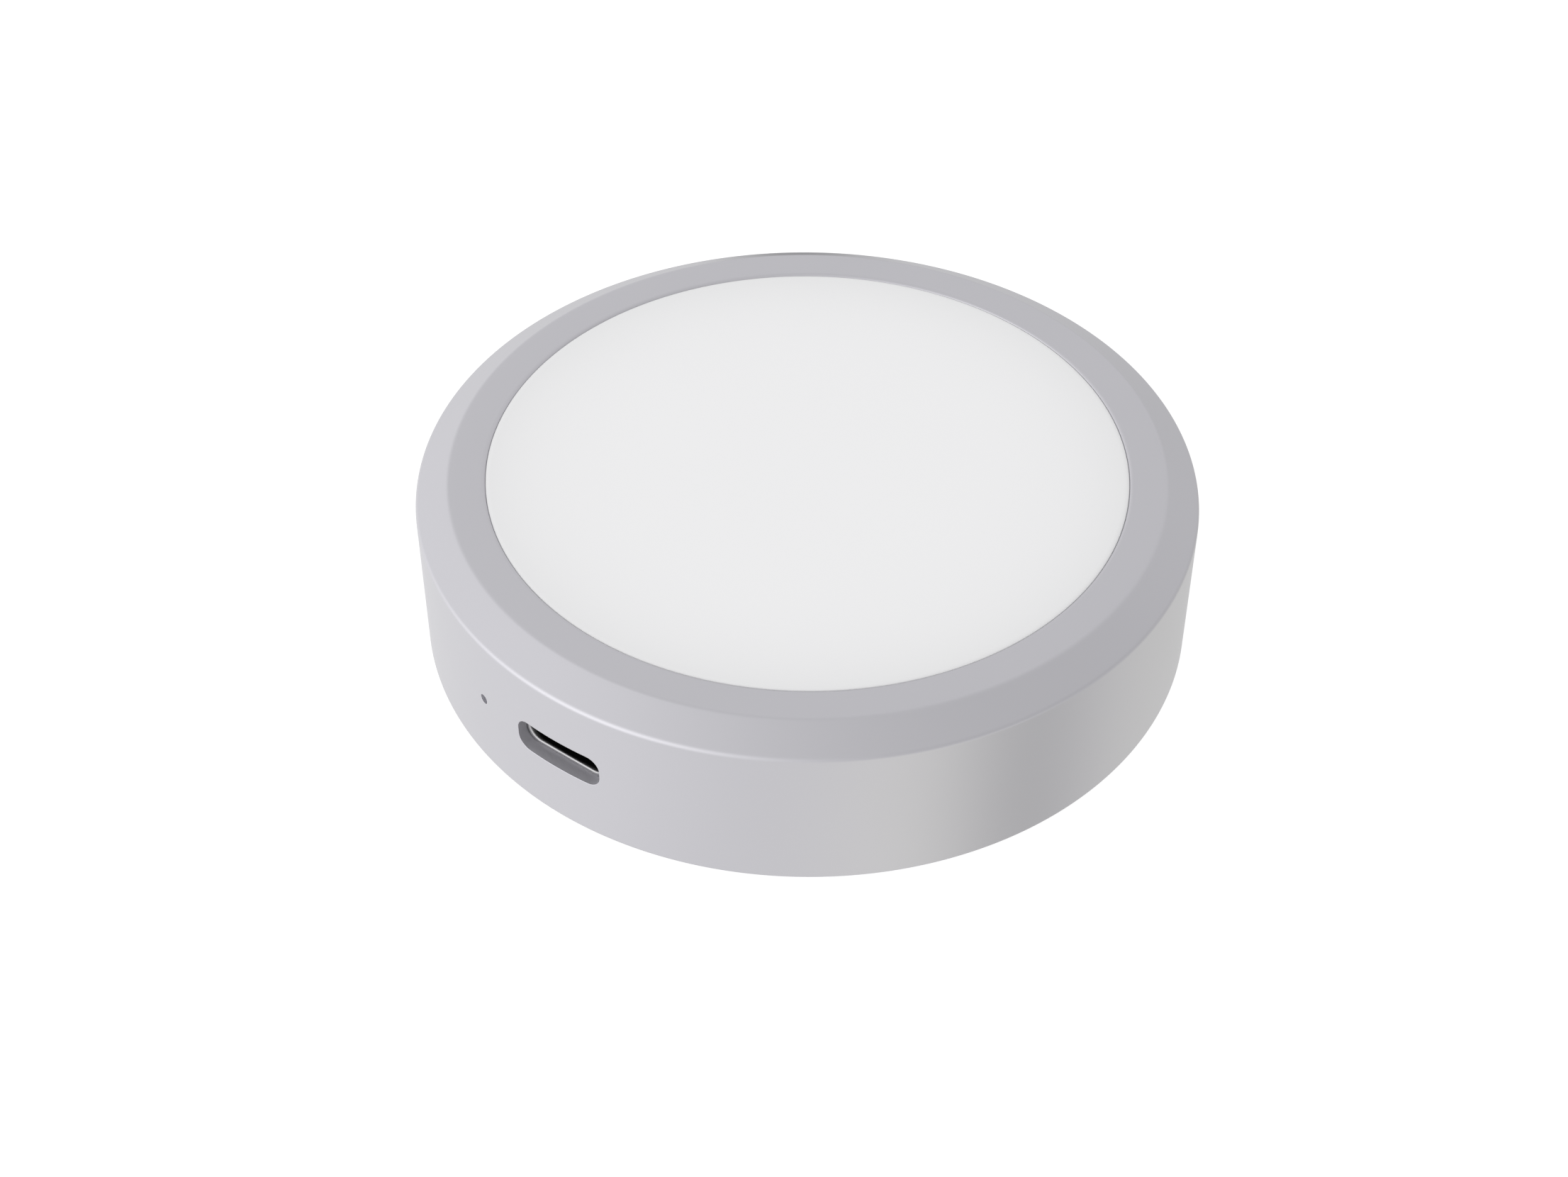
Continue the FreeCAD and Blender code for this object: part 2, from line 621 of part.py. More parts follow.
def make_foot_ring():
    body = new_body("foot_body")
    height = "(wall_foot_z + foot_sink)"
    inner = "foot_inner + foot_play"
    outer = "foot_outer - foot_play"
    revolve(
        body,
        "foot",
        [
            (inner, "foot_bevel"),
            (f"{inner} + foot_bevel", "0"),
            (f"{outer} - foot_bevel", "0"),
            (outer, "foot_bevel"),
            (outer, height),
            (inner, height),
        ],
    )
    return node("foot_ring", body)


# --- charging coil under the disc -------------------------------------------------


def make_coil():
    """The flat winding: one round bump for each turn of wire, bonded side by side."""
    wire = size("coil_wire / 2")
    pitch = size("coil_pitch")
    first = size("coil_inner") + wire
    middle = size(COIL_Z) + wire
    dip = (wire**2 - (pitch / 2) ** 2) ** 0.5
    centres = [first + i * pitch for i in range(COIL_TURNS)]

    def bump(centre, side):
        """Half a turn's outline, above or below, up to where it meets its neighbours."""
        inner_dip = dip if centre > centres[0] else 0.0
        outer_dip = dip if centre < centres[-1] else 0.0
        inner_x = centre - (pitch / 2 if inner_dip else wire)
        outer_x = centre + (pitch / 2 if outer_dip else wire)
        start = FreeCAD.Vector(inner_x, 0, middle + side * inner_dip)
        crown = FreeCAD.Vector(centre, 0, middle + side * wire)
        end = FreeCAD.Vector(outer_x, 0, middle + side * outer_dip)
        return Part.Arc(start, crown, end).toShape()

    edges = [bump(c, 1) for c in centres] + [bump(c, -1) for c in centres]
    section = Part.Face(Part.Wire(Part.__sortEdges__(edges)))
    coil = doc.addObject("Part::Feature", "coil_winding")
    coil.Shape = section.revolve(FreeCAD.Vector(), FreeCAD.Vector(0, 0, 1), 360)
    return node("charging_coil", coil)


def make_coil_leads():
    """The coil's two ends: each runs level, bends down and stands on the board."""
    radius = size("lead_radius")
    level = size(f"{COIL_Z} + coil_wire / 2")
    foot = size(BOARD_TOP_Z)
    bend = size("lead_bend")

    def lead(start, drop):
        """A round wire along Y from one radius to another, then straight down."""
        towards = 1 if drop > start else -1
        corner = FreeCAD.Vector(0, -(drop - towards * bend), level)
        lower = FreeCAD.Vector(0, -drop, level - bend)
        turn_centre = FreeCAD.Vector(0, corner.y, level - bend)
        diagonal = FreeCAD.Vector(0, -towards * bend * sin(pi / 4), bend * cos(pi / 4))
        middle = turn_centre + diagonal
        begin = FreeCAD.Vector(0, -start, level)
        path = Part.Wire(
            [
                Part.LineSegment(begin, corner).toShape(),
                Part.Arc(corner, middle, lower).toShape(),
                Part.LineSegment(lower, FreeCAD.Vector(0, -drop, foot)).toShape(),
            ]
        )
        along = corner - begin
        section = Part.Wire(Part.Circle(begin, along, radius).toShape())
        return path.makePipeShell([section], True, True)

    coil_outer = size("coil_inner + coil_wire") + (COIL_TURNS - 1) * size("coil_pitch")
    leads = doc.addObject("Part::Feature", "lead_wires")
    leads.Shape = Part.makeCompound(
        [
            lead(coil_outer + size("lead_gap"), size("outer_lead_at")),
            lead(size("coil_inner - lead_gap"), size("inner_lead_at")),
        ]
    )
    return node("coil_leads", leads)


def make_ferrite():
    body = new_body("ferrite_body")
    outline = sketch_on(body, "ferrite_outline", "XY_Plane", z=FERRITE_Z)
    draw_circle(outline, "ferrite_radius")
    draw_circle(outline, "lead_radius + lead_clearance", "0", "0 - inner_lead_at")
    pad(body, "ferrite", outline, "ferrite_thickness")
    return node("ferrite_sheet", body)


def make_carrier():
    """The moulded tray that holds ferrite and coil up against the disc."""
    body = new_body("carrier_body")
    revolve(
        body,
        "tray",
        [
            ("0", CARRIER_Z),
            ("carrier_radius", CARRIER_Z),
            ("carrier_radius", WEB_Z),
            ("tray_radius", WEB_Z),
            ("tray_radius", FERRITE_Z),
            ("0", FERRITE_Z),
        ],
    )
    height = f"{WEB_Z} - {CARRIER_Z} + 2 * overcut"
    notches = sketch_on(body, "pillar_notch_outline", "XY_Plane", z=f"{CARRIER_Z} - overcut")
    draw_circles(notches, "pillar_radius + pillar_play", "pillar_circle", PILLAR_ANGLES)
    pocket(body, "pillar_notches", notches, height, True)
    slots = sketch_on(body, "boss_hole_outline", "XY_Plane", z=f"{CARRIER_Z} - overcut")
    draw_circles(slots, "boss_radius + boss_play", "boss_circle", BOSS_ANGLES)
    pocket(body, "boss_holes", slots, height, True)
    holes = sketch_on(body, "carrier_hole_outline", "XY_Plane", z=f"{CARRIER_Z} - overcut")
    draw_circles(
        holes, "carrier_thread_radius + screw_play", "carrier_screw_circle", CARRIER_SCREW_ANGLES
    )
    pocket(body, "carrier_holes", holes, height, True)
    leads = sketch_on(body, "lead_hole_outline", "XY_Plane", z=f"{CARRIER_Z} - overcut")
    draw_circle(leads, "lead_radius + lead_clearance", "0", "0 - inner_lead_at")
    draw_circle(leads, "lead_radius + lead_clearance", "0", "0 - outer_lead_at")
    pocket(body, "lead_holes", leads, height, True)
    return node("coil_carrier", body)


# --- circuit board ----------------------------------------------------------------


def make_board():
    """The round board, notched for the cover pillars and the sunk USB-A receptacles."""
    body = new_body("board_body")
    outline = sketch_on(body, "board_outline", "XY_Plane", z=BOARD_Z)
    draw_circle(outline, "board_radius")
    pad(body, "blank", outline, "board_thickness")
    under = f"({BOARD_Z} - overcut)"
    through = "board_thickness + 2 * overcut"
    notches = sketch_on(body, "notch_outline", "XY_Plane", z=under)
    draw_circles(notches, "pillar_radius + pillar_play", "pillar_circle", PILLAR_ANGLES)
    pocket(body, "pillar_notches", notches, through, True)
    holes = sketch_on(body, "screw_outline", "XY_Plane", z=under)
    draw_circles(holes, "thread_radius + screw_play", "boss_circle", BOSS_ANGLES)
    pocket(body, "screw_holes", holes, through, True)
    for name, kind, direction in port_directions():
        if kind == "usb_c":
            continue
        inner_end = "usb_a_flat - face_gap - usb_a_depth - slot_play"
        slot = sketch_facing(body, f"{name}_slot_outline", direction, inner_end)
        half = "(usb_a_width / 2 + slot_play)"
        over = f"({BOARD_TOP_Z} + overcut)"
        draw_block(slot, half, under, over)
        pocket(body, f"{name}_slot", slot, "usb_a_depth + 4 * overcut", True)
    return node("main_board", body)


def make_board_parts():
    """The components on the board's upper side."""
    for name, width, depth, x, y, turn in CHIPS:
        node(name, chip(name, width, depth, x, y, turn))

    can_outer = box("can_outer", "can_width", "can_width", "can_height")
    inside = "can_width - 2 * can_sheet"
    can_inner = box("can_inner", inside, inside, "can_height - can_sheet")
    node("shield_can", place(cut("can", can_outer, can_inner), "0", "can_y", BOARD_TOP_Z))

    inductors = [inductor(f"inductor_{i}", x, y) for i, (x, y) in enumerate(INDUCTOR_SPOTS)]
    node("power_inductors", group("inductors", inductors))
    cans = [capacitor(f"capacitor_{i}", x, y) for i, (x, y) in enumerate(CAPACITOR_SPOTS)]
    node("bulk_capacitors", group("capacitors", cans))

    sizes = ("crystal_width", "crystal_depth", "crystal_height")
    node("crystal", box("crystal_can", *sizes, "crystal_x", "0 - crystal_y", BOARD_TOP_Z))

    sizes = ("transistor_width", "transistor_width", "transistor_height")
    transistors = [
        box(f"transistor_{i}", *sizes, x, y, BOARD_TOP_Z)
        for i, (x, y) in enumerate(TRANSISTOR_SPOTS)
    ]
    node("power_transistors", group("transistors", transistors))

    sizes = ("ceramic_length", "ceramic_width", "ceramic_width")
    ceramics = [
        on_circle(box(f"ceramic_{i}", *sizes), "ceramic_circle", angle, BOARD_TOP_Z)
        for i, angle in enumerate(CERAMIC_ANGLES)
    ]
    node("ceramic_capacitors", place(group("ceramics", ceramics), "0", "can_y"))

    sizes = ("resistor_length", "resistor_width", "resistor_height")
    resistors = [
        on_circle(box(f"resistor_{i}", *sizes), "resistor_circle", angle, BOARD_TOP_Z)
        for i, angle in enumerate(RESISTOR_ANGLES)
    ]
    node("chip_resistors", group("resistors", resistors))

    sizes = ("esd_length", "esd_width", "esd_height")
    arrays = [
        on_circle(box(f"esd_{i}", *sizes), "esd_circle", angle, BOARD_TOP_Z, angle + 90)
        for i, angle in enumerate(ESD_ANGLES)
    ]
    node("esd_arrays", group("arrays", arrays))


def chip(name, width, depth, x, y, turn):
    """A chip package with a pin-one dimple."""
    body = box(f"{name}_block", width, depth, "chip_height")
    dimple_x = f"dimple_inset - {width} / 2"
    dimple_y = f"{depth} / 2 - dimple_inset"
    dimple_z = "chip_height - dimple_depth"
    dimple = cylinder(
        f"{name}_dimple", "dimple_radius", "2 * dimple_depth", dimple_x, dimple_y, dimple_z
    )
    return place(cut(f"{name}_package", body, dimple), x, y, BOARD_TOP_Z, turn)


def inductor(name, x, y):
    """A moulded power inductor with its two end terminals showing below."""
    sizes = ("inductor_width", "inductor_depth", "inductor_height")
    block = box(f"{name}_block", *sizes, z="inductor_lift")
    sizes = ("terminal_width", "terminal_depth", "terminal_height")
    pads = [box(f"{name}_pad_{side}", *sizes, f"{side} * terminal_out") for side in (-1, 1)]
    return place(fuse(name, [block, *pads]), x, y, BOARD_TOP_Z)


def capacitor(name, x, y):
    """A polymer can on its square base."""
    base = box(f"{name}_base", "base_width", "base_width", "base_height")
    half_base = "base_height / 2"
    can = cylinder(f"{name}_can", "tin_radius", f"tin_height - {half_base}", z=half_base)
    return place(fuse(name, [base, can]), x, y, BOARD_TOP_Z)


def make_status_light():
    """The light-emitting diode and the clear pipe that leads its light to the pinhole."""
    diode = box("led_block", "led_length", "led_width", "led_height")
    on_circle(diode, "led_circle", PINHOLE_DIRECTION, BOARD_TOP_Z)
    node("status_led", group("led_holder", [diode]))

    sizes = ("pipe_length", "pipe_width", "pipe_height")
    block = box("pipe_block", *sizes, "pipe_middle", "0", f"{BOARD_TOP_Z} + pipe_lift")
    nose = doc.addObject("Part::Cylinder", "pipe_nose")
    bind(nose, Radius="pinhole_radius - nose_clearance", Height="nose_length")
    along_x = FreeCAD.Rotation(FreeCAD.Vector(0, 1, 0), 90)
    nose.Placement = FreeCAD.Placement(FreeCAD.Vector(), along_x)
    nose.setExpression("Placement.Base.x", formula("nose_start"))
    nose.setExpression("Placement.Base.z", formula("port_z"))
    pipe = fuse("pipe", [block, nose])
    node("light_pipe", place(pipe, turn=PINHOLE_DIRECTION))


def make_thermal_pad():
    """The soft pad that carries the controllers' heat down to the metal cover."""
    sizes = ("pad_width", "pad_width", f"{BOARD_Z} - {COVER_TOP_Z}")
    node("thermal_pad", box("pad_block", *sizes, "0", "can_y", COVER_TOP_Z))


# --- receptacles ------------------------------------------------------------------


def face_distance(kind):
    return f"({kind}_flat - face_gap)"


def put_port(target, kind, direction):
    """Moves a receptacle piece, drawn with its mouth at the origin facing -Y, to its port."""
    out = face_distance(kind)
    return on_circle(target, out, direction, "port_z", f"{direction} - ({FRONT})")


def prism(name, width, height, corner, start, length):
    """A bar of rounded section along +Y, centred on the port's axis."""
    body = new_body(name)
    outline = sketch_on(body, f"{name}_outline", "XZ_Plane")
    outline.setExpression("AttachmentOffset.Base.z", formula(f"0 - ({start})"))
    draw_rounded_rectangle(outline, width, height, corner)
    made = pad(body, f"{name}_pad", outline, length)
    made.Reversed = True
    doc.recompute()
    return body


def make_usb_c(name, direction):
    """Steel shell, black tongue block and gold contacts of one USB-C receptacle."""
    outer = prism(
        f"{name}_outer", "usb_c_width", "usb_c_height", "usb_c_corner", "0", "usb_c_depth"
    )
    mouth_width = "usb_c_width - 2 * usb_c_wall"
    mouth = prism(
        f"{name}_mouth",
        mouth_width,
        "usb_c_mouth_height",
        "usb_c_mouth_corner",
        "0 - overcut",
        "usb_c_depth + 2 * overcut",
    )
    tube = cut(f"{name}_tube", outer, mouth)
    sizes = ("foot_tab_width", "foot_tab_length", "usb_c_wall")
    under = "0 - usb_c_height / 2"
    tabs = [
        box(f"{name}_tab_{side}_{row}", *sizes, f"{side} * foot_tab_out", row, under)
        for side in (-1, 1)
        for row in USB_C_TAB_ROWS
    ]
    shell = fuse(f"{name}_shell_parts", [tube, *tabs])
    node(f"{name}_shell", put_port(shell, "usb_c", direction))

    back = prism(
        f"{name}_back",
        f"{mouth_width} - 2 * plug_gap",
        "usb_c_mouth_height - 2 * plug_gap",
        "usb_c_mouth_corner - plug_gap",
        "usb_c_depth - usb_c_back",
        "usb_c_back - plug_gap",
    )
    root_end = "(usb_c_depth - usb_c_back + root_overlap)"
    sizes = ("step_width", "step_length", "step_thickness")
    step_y = f"{root_end} - step_length / 2"
    step = box(f"{name}_step", *sizes, "0", step_y, "0 - step_thickness / 2")
    tip = "(usb_c_depth - tongue_reach)"
    sizes = ("tongue_width", f"{root_end} - {tip}", "tongue_thickness")
    blade_y = f"({root_end} + {tip}) / 2"
    blade = box(f"{name}_blade", *sizes, "0", blade_y, "0 - tongue_thickness / 2")
    tongue = fuse(f"{name}_tongue_parts", [back, step, blade])
    node(f"{name}_tongue", put_port(tongue, "usb_c", direction))

    sizes = ("strip_width", "strip_length", "strip_thickness")
    sides = {
        "upper": "tongue_thickness / 2",
        "lower": "0 - tongue_thickness / 2 - strip_thickness",
    }
    places = [f"{i - (USB_C_STRIPS - 1) / 2} * strip_pitch" for i in range(USB_C_STRIPS)]
    strips = [
        box(f"{name}_{side}_strip_{i}", *sizes, x, "strip_middle", z)
        for side, z in sides.items()
        for i, x in enumerate(places)
    ]
    contacts = group(f"{name}_contact_parts", strips)
    node(f"{name}_contacts", put_port(contacts, "usb_c", direction))


def make_usb_a(name, direction):
    """Steel shell, black tongue block and gold contacts of one USB-A receptacle."""
    outer = prism(f"{name}_outer", "usb_a_width", "usb_a_height", "usb_a_corner", "0", "usb_a_depth")
    mouth_width = "usb_a_width - 2 * usb_a_wall"
    mouth_height = "usb_a_height - 2 * usb_a_wall"
    mouth_corner = "usb_a_corner - usb_a_wall"
    mouth = prism(
        f"{name}_mouth",
        mouth_width,
        mouth_height,
        mouth_corner,
        "0 - overcut",
        "usb_a_depth + 2 * overcut",
    )
    tube = cut(f"{name}_tube", outer, mouth)
    sizes = ("window_width", "window_length", "usb_a_height + 2 * overcut")
    under = "0 - usb_a_height / 2 - overcut"
    windows = [
        box(f"{name}_window_{side}", *sizes, f"{side} * window_out", "window_middle", under)
        for side in (-1, 1)
    ]
    shell = cut(f"{name}_windowed", tube, fuse(f"{name}_windows", windows))
    node(f"{name}_shell", put_port(shell, "usb_a", direction))

    back = prism(
        f"{name}_back",
        f"{mouth_width} - 2 * plug_gap",
        f"{mouth_height} - 2 * plug_gap",
        mouth_corner,
        "usb_a_depth - usb_a_back",
        "usb_a_back",
    )
    root_end = "(usb_a_depth - usb_a_back + root_overlap)"
    sizes = ("blade_width", f"{root_end} - blade_recess", "blade_thickness")
    blade_y = f"({root_end} + blade_recess) / 2"
    blade = box(f"{name}_blade", *sizes, "0", blade_y)
    tongue = fuse(f"{name}_tongue_parts", [back, blade])
    node(f"{name}_tongue", put_port(tongue, "usb_a", direction))

    sizes = ("pin_width", "pin_length", "pin_thickness")
    places = [f"{i - (USB_A_PINS - 1) / 2} * pin_pitch" for i in range(USB_A_PINS)]
    pins = [
        box(f"{name}_pin_{i}", *sizes, x, "pin_middle", "0 - pin_thickness")
        for i, x in enumerate(places)
    ]
    contacts = group(f"{name}_contact_parts", pins)
    node(f"{name}_contacts", put_port(contacts, "usb_a", direction))


# --- screws -----------------------------------------------------------------------


def screw(name, shaft_radius, shaft_length, head_radius, head_height, drive):
    """A screw that points up: head below z = 0, shaft above it, square drive recess."""
    under = f"0 - {head_height}"
    shaft = cylinder(f"{name}_shaft", shaft_radius, f"{shaft_length} + neck", z="0 - neck")
    head = cylinder(f"{name}_head", head_radius, head_height, z=under)
    whole = fuse(f"{name}_whole", [shaft, head])
    recess = box(f"{name}_recess", drive, drive, f"{head_height} * drive_share", z=under)
    return cut(name, whole, recess)


def screw_group(label, angles, circle, z, thread, shaft, head_radius, head_height, drive):
    """Identical screws at the given angles on a circle, as one node."""
    shaft_radius = f"{thread} - shaft_clearance"
    screws = [
        on_circle(
            screw(f"{label}_{i}", shaft_radius, shaft, head_radius, head_height, drive),
            circle,
            angle,
            z,
        )
        for i, angle in enumerate(angles)
    ]
    return node(label, group(f"{label}_group", screws))


def make_screws():
    screw_group(
        "cover_screws",
        PILLAR_ANGLES,
        "pillar_circle",
        "wall_foot_z + foot_sink + head_recess_depth",
        "thread_radius",
        "cover_shaft",
        "cover_head_radius",
        "cover_head_height",
        "drive_width",
    )
    screw_group(
        "board_screws",
        BOSS_ANGLES,
        "boss_circle",
        BOARD_Z,
        "thread_radius",
        "board_shaft",
        "board_head_radius",
        "board_head_height",
        "drive_width",
    )
    screw_group(
        "carrier_screws",
        CARRIER_SCREW_ANGLES,
        "carrier_screw_circle",
        CARRIER_Z,
        "carrier_thread_radius",
        "carrier_shaft",
        "carrier_head_radius",
        "carrier_head_height",
        "small_drive_width",
    )


# --- build, check and export ------------------------------------------------------


def check(objects):
    """Stops the build if any feature failed or any sub-part has no sound shape."""
    for made in doc.Objects:
        if {"Invalid", "Error"} & set(made.State):
            raise RuntimeError(f"{made.Name} did not compute: {made.State}")
    for made in objects:
        if made.Shape.isNull() or not made.Shape.isValid() or not made.Shape.Solids:
            raise RuntimeError(f"{made.Label} has no sound shape")


def main():
    fill_sheet()
    make_housing()
    make_top_disc()
    make_adhesive_ring()
    make_bottom_cover()
    make_foot_ring()
    make_coil()
    make_coil_leads()
    make_ferrite()
    make_carrier()
    make_board()
    make_board_parts()
    make_status_light()
    make_thermal_pad()
    for name, kind, direction in port_directions():
        if kind == "usb_c":
            make_usb_c(name, direction)
        else:
            make_usb_a(name, direction)
    make_screws()
    doc.recompute()
    check(NODES)
    os.makedirs("parts", exist_ok=True)
    for made in NODES:
        made.Shape.exportStep(f"parts/{made.Label}.step")
    print(f"{len(NODES)} sub-parts written")


main()
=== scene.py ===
import json
from math import cos, pi, radians, sin, sqrt
from types import SimpleNamespace

import bmesh
import bpy
from mathutils import Matrix, Vector


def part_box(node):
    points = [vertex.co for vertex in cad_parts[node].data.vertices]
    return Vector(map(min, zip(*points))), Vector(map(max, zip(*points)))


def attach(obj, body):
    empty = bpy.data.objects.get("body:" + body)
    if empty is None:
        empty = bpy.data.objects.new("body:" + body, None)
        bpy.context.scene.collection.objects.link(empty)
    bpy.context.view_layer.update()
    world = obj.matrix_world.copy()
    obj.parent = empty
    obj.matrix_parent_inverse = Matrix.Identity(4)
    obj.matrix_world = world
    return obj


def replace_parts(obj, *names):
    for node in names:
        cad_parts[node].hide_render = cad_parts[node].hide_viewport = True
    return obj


# A round satin-aluminium USB hub with a white charging disc, on a pale floor in soft light.
# Lengths are in millimetres and become metres as meshes are made. Only the floor's size and
# the distances that the camera clips at are given in metres.

MM = 0.001

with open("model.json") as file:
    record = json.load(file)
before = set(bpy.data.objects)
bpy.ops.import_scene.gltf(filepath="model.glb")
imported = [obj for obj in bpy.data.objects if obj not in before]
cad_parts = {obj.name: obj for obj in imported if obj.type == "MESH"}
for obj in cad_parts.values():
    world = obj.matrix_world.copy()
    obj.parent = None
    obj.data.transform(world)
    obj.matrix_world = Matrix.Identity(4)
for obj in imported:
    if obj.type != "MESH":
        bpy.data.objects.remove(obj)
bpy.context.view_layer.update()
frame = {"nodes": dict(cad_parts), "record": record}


def cad_size(node):
    """(lowest corner, highest corner) of a CAD node, in millimetres."""
    low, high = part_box(node)
    return low / MM, high / MM


# --- sizes that follow the frame ----------------------------------------------------

HOUSING_LOW, HOUSING_HIGH = cad_size("housing")
DISC_LOW, DISC_HIGH = cad_size("top_disc")
COVER_LOW, COVER_HIGH = cad_size("bottom_cover")
FOOT_LOW, FOOT_HIGH = cad_size("foot_ring")
USB_C_LOW, USB_C_HIGH = cad_size("front_usb_c_shell")
USB_A_LOW, USB_A_HIGH = cad_size("left_usb_a_shell")

TOP_Z = HOUSING_HIGH.z
FOOT_Z = HOUSING_LOW.z
BODY_RADIUS = HOUSING_HIGH.x
DISC_RADIUS = DISC_HIGH.x + 0.04
COVER_RADIUS = COVER_HIGH.x
COVER_TOP_Z = COVER_HIGH.z
PORT_Z = (USB_C_LOW.z + USB_C_HIGH.z) / 2
BOARD_TOP_Z = USB_C_LOW.z

RING_RADIUS = 33.4
BEVEL_DROP = 1.88
BORE_RADIUS = DISC_RADIUS + 0.01
LEDGE_RADIUS = 27.4
TAPE_THICKNESS = 0.15
WEB_THICKNESS = 1.2
WALL_THICKNESS = 2.0
COVER_GAP = 0.10
LEDGE_Z = DISC_LOW.z - TAPE_THICKNESS
WEB_Z = LEDGE_Z - WEB_THICKNESS
INNER_RADIUS = BODY_RADIUS - WALL_THICKNESS
SEAT_RADIUS = COVER_RADIUS + COVER_GAP
LEDGE_FILLET = 0.15
FOOT_FILLET = 0.12
RIM_FILLET = 0.04
BEVEL_FILLET = 0.48
RING_FILLET = 0.7
BORE_EDGE = SimpleNamespace(width=-0.44, depth=0.25)
DISC_EDGE = SimpleNamespace(width=0.50, depth=0.14)

# Screw pillars, board bosses and threaded holes: circle, angles on it, radii and depth.
PILLARS = SimpleNamespace(circle=32.3, angles=(30, 150, 225, 315), radius=2.5)
BOSSES = SimpleNamespace(circle=31.0, angles=(0, 180, 240, 300), radius=2.2)
CARRIER_HOLES = SimpleNamespace(circle=30.8, angles=(90, 202, 338), radius=0.8, depth=2.0)
THREAD_RADIUS, THREAD_DEPTH = 1.0, 5.0

# Sizes of each kind of receptacle. The mouth of the shell and the cut-out in the wall are
# (width, height, corner). inner_lip rounds the edge of the mouth, and flare is what the lip
# stands out on each side. face and flat are how far the shell's face and the flat milled behind
# the cut-out are from the axis, and flat_margin is what the flat is larger by at the sides and
# at the top. window is the space that the cut-out takes in the wall's grid, as half its columns
# and half its rows.
USB_C = SimpleNamespace(
    width=8.94,
    height=USB_C_HIGH.z - USB_C_LOW.z,
    corner=1.4,
    depth=7.35,
    back=6.2,
    mouth=(8.34, 2.56, 1.25),
    inner_lip=0.18,
    flare=0.08,
    cut_out=(9.28, 3.30, 1.31),
    flat_margin=(0.17, 0.06),
    face=-USB_C_LOW.y,
    flat=-USB_C_LOW.y - 0.05,
    window=(10, 8),
)
USB_A = SimpleNamespace(
    width=13.1,
    height=USB_A_HIGH.z - USB_A_LOW.z,
    corner=0.6,
    depth=14.0,
    back=12.1,
    mouth=(12.5, 5.12, 0.3),
    inner_lip=0.12,
    flare=0.0,
    cut_out=(13.5, 6.12, 0.8),
    flat_margin=(0.2, 0.2),
    face=34.95,
    flat=35.0,
    window=(13, 10),
)

PINHOLE_RADIUS = 0.48
PINHOLE_DIRECTION = -90.0 - 15.27

# (name, kind, direction it faces in degrees from +X towards +Y)
PORTS = [
    ("front_usb_c", USB_C, -90.0),
    ("rear_usb_c", USB_C, 90.0),
    ("left_usb_a", USB_A, 120.0),
    ("right_usb_a", USB_A, 60.0),
]


# --- how fine the meshes are ----------------------------------------------------------

# The body, disc, cover and foot have one column a degree, which the openings in the wall count
# on. The flat middle of a disc is a fan of triangles, out to MIDDLE_RADIUS. An edge that turns
# by more than the sharp angle is shaded as an edge.
COLUMNS = 360
SCREW_COLUMNS = 40
MIDDLE_RADIUS = 6.0
SHARP_ANGLE, CAD_SHARP_ANGLE = radians(32), radians(30)


# --- mesh helpers --------------------------------------------------------------------


def finish_mesh(name, bm, material):
    """Turns a bmesh in millimetres into a smooth-shaded piece in metres."""
    bmesh.ops.delete(bm, geom=[v for v in bm.verts if not v.link_faces], context="VERTS")
    bmesh.ops.recalc_face_normals(bm, faces=bm.faces)
    bmesh.ops.scale(bm, vec=(MM, MM, MM), verts=bm.verts)
    mesh = bpy.data.meshes.new(name)
    bm.to_mesh(mesh)
    bm.free()
    for face in mesh.polygons:
        face.use_smooth = True
    mesh.set_sharp_from_angle(angle=SHARP_ANGLE)
    mesh.materials.append(material)
    piece = bpy.data.objects.new(name, mesh)
    bpy.context.scene.collection.objects.link(piece)
    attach(piece, "root")
    return piece


def carve(bm, tools, operation):
    """Joins closed shapes to a closed mesh, or cuts them out of it.

    Vertices that the cut leaves in the middle of a straight edge are taken away."""
    objects = []
    for shape in (bm, tools):
        mesh = bpy.data.meshes.new("carving")
        bmesh.ops.recalc_face_normals(shape, faces=shape.faces)
        shape.to_mesh(mesh)
        shape.free()
        objects.append(bpy.data.objects.new("carving", mesh))
        bpy.context.scene.collection.objects.link(objects[-1])
    base, tool = objects
    modifier = base.modifiers.new("carving", "BOOLEAN")
    modifier.operation = operation
    modifier.solver = "EXACT"
    modifier.object = tool
    evaluated = base.evaluated_get(bpy.context.evaluated_depsgraph_get())
    carved = bmesh.new()
    carved.from_mesh(evaluated.to_mesh())
    evaluated.to_mesh_clear()
    for obj in objects:
        mesh = obj.data
        bpy.data.objects.remove(obj)
        bpy.data.meshes.remove(mesh)
    bmesh.ops.remove_doubles(carved, verts=carved.verts, dist=1e-4)
    with_two_edges = [v for v in carved.verts if len(v.link_edges) == 2]
    needless = [v for v in with_two_edges if v.calc_edge_angle(pi) < radians(1)]
    bmesh.ops.dissolve_verts(carved, verts=needless)
    return carved


def bridge(bm, lower, upper):
    """Quads between two closed loops of vertices with the same count."""
    count = len(lower)
    for i in range(count):
        j = (i + 1) % count
        bm.faces.new((lower[i], lower[j], upper[j], upper[i]))


def loop_at(bm, points):
    """New vertices at a list of points."""
    return [bm.verts.new(p) for p in points]


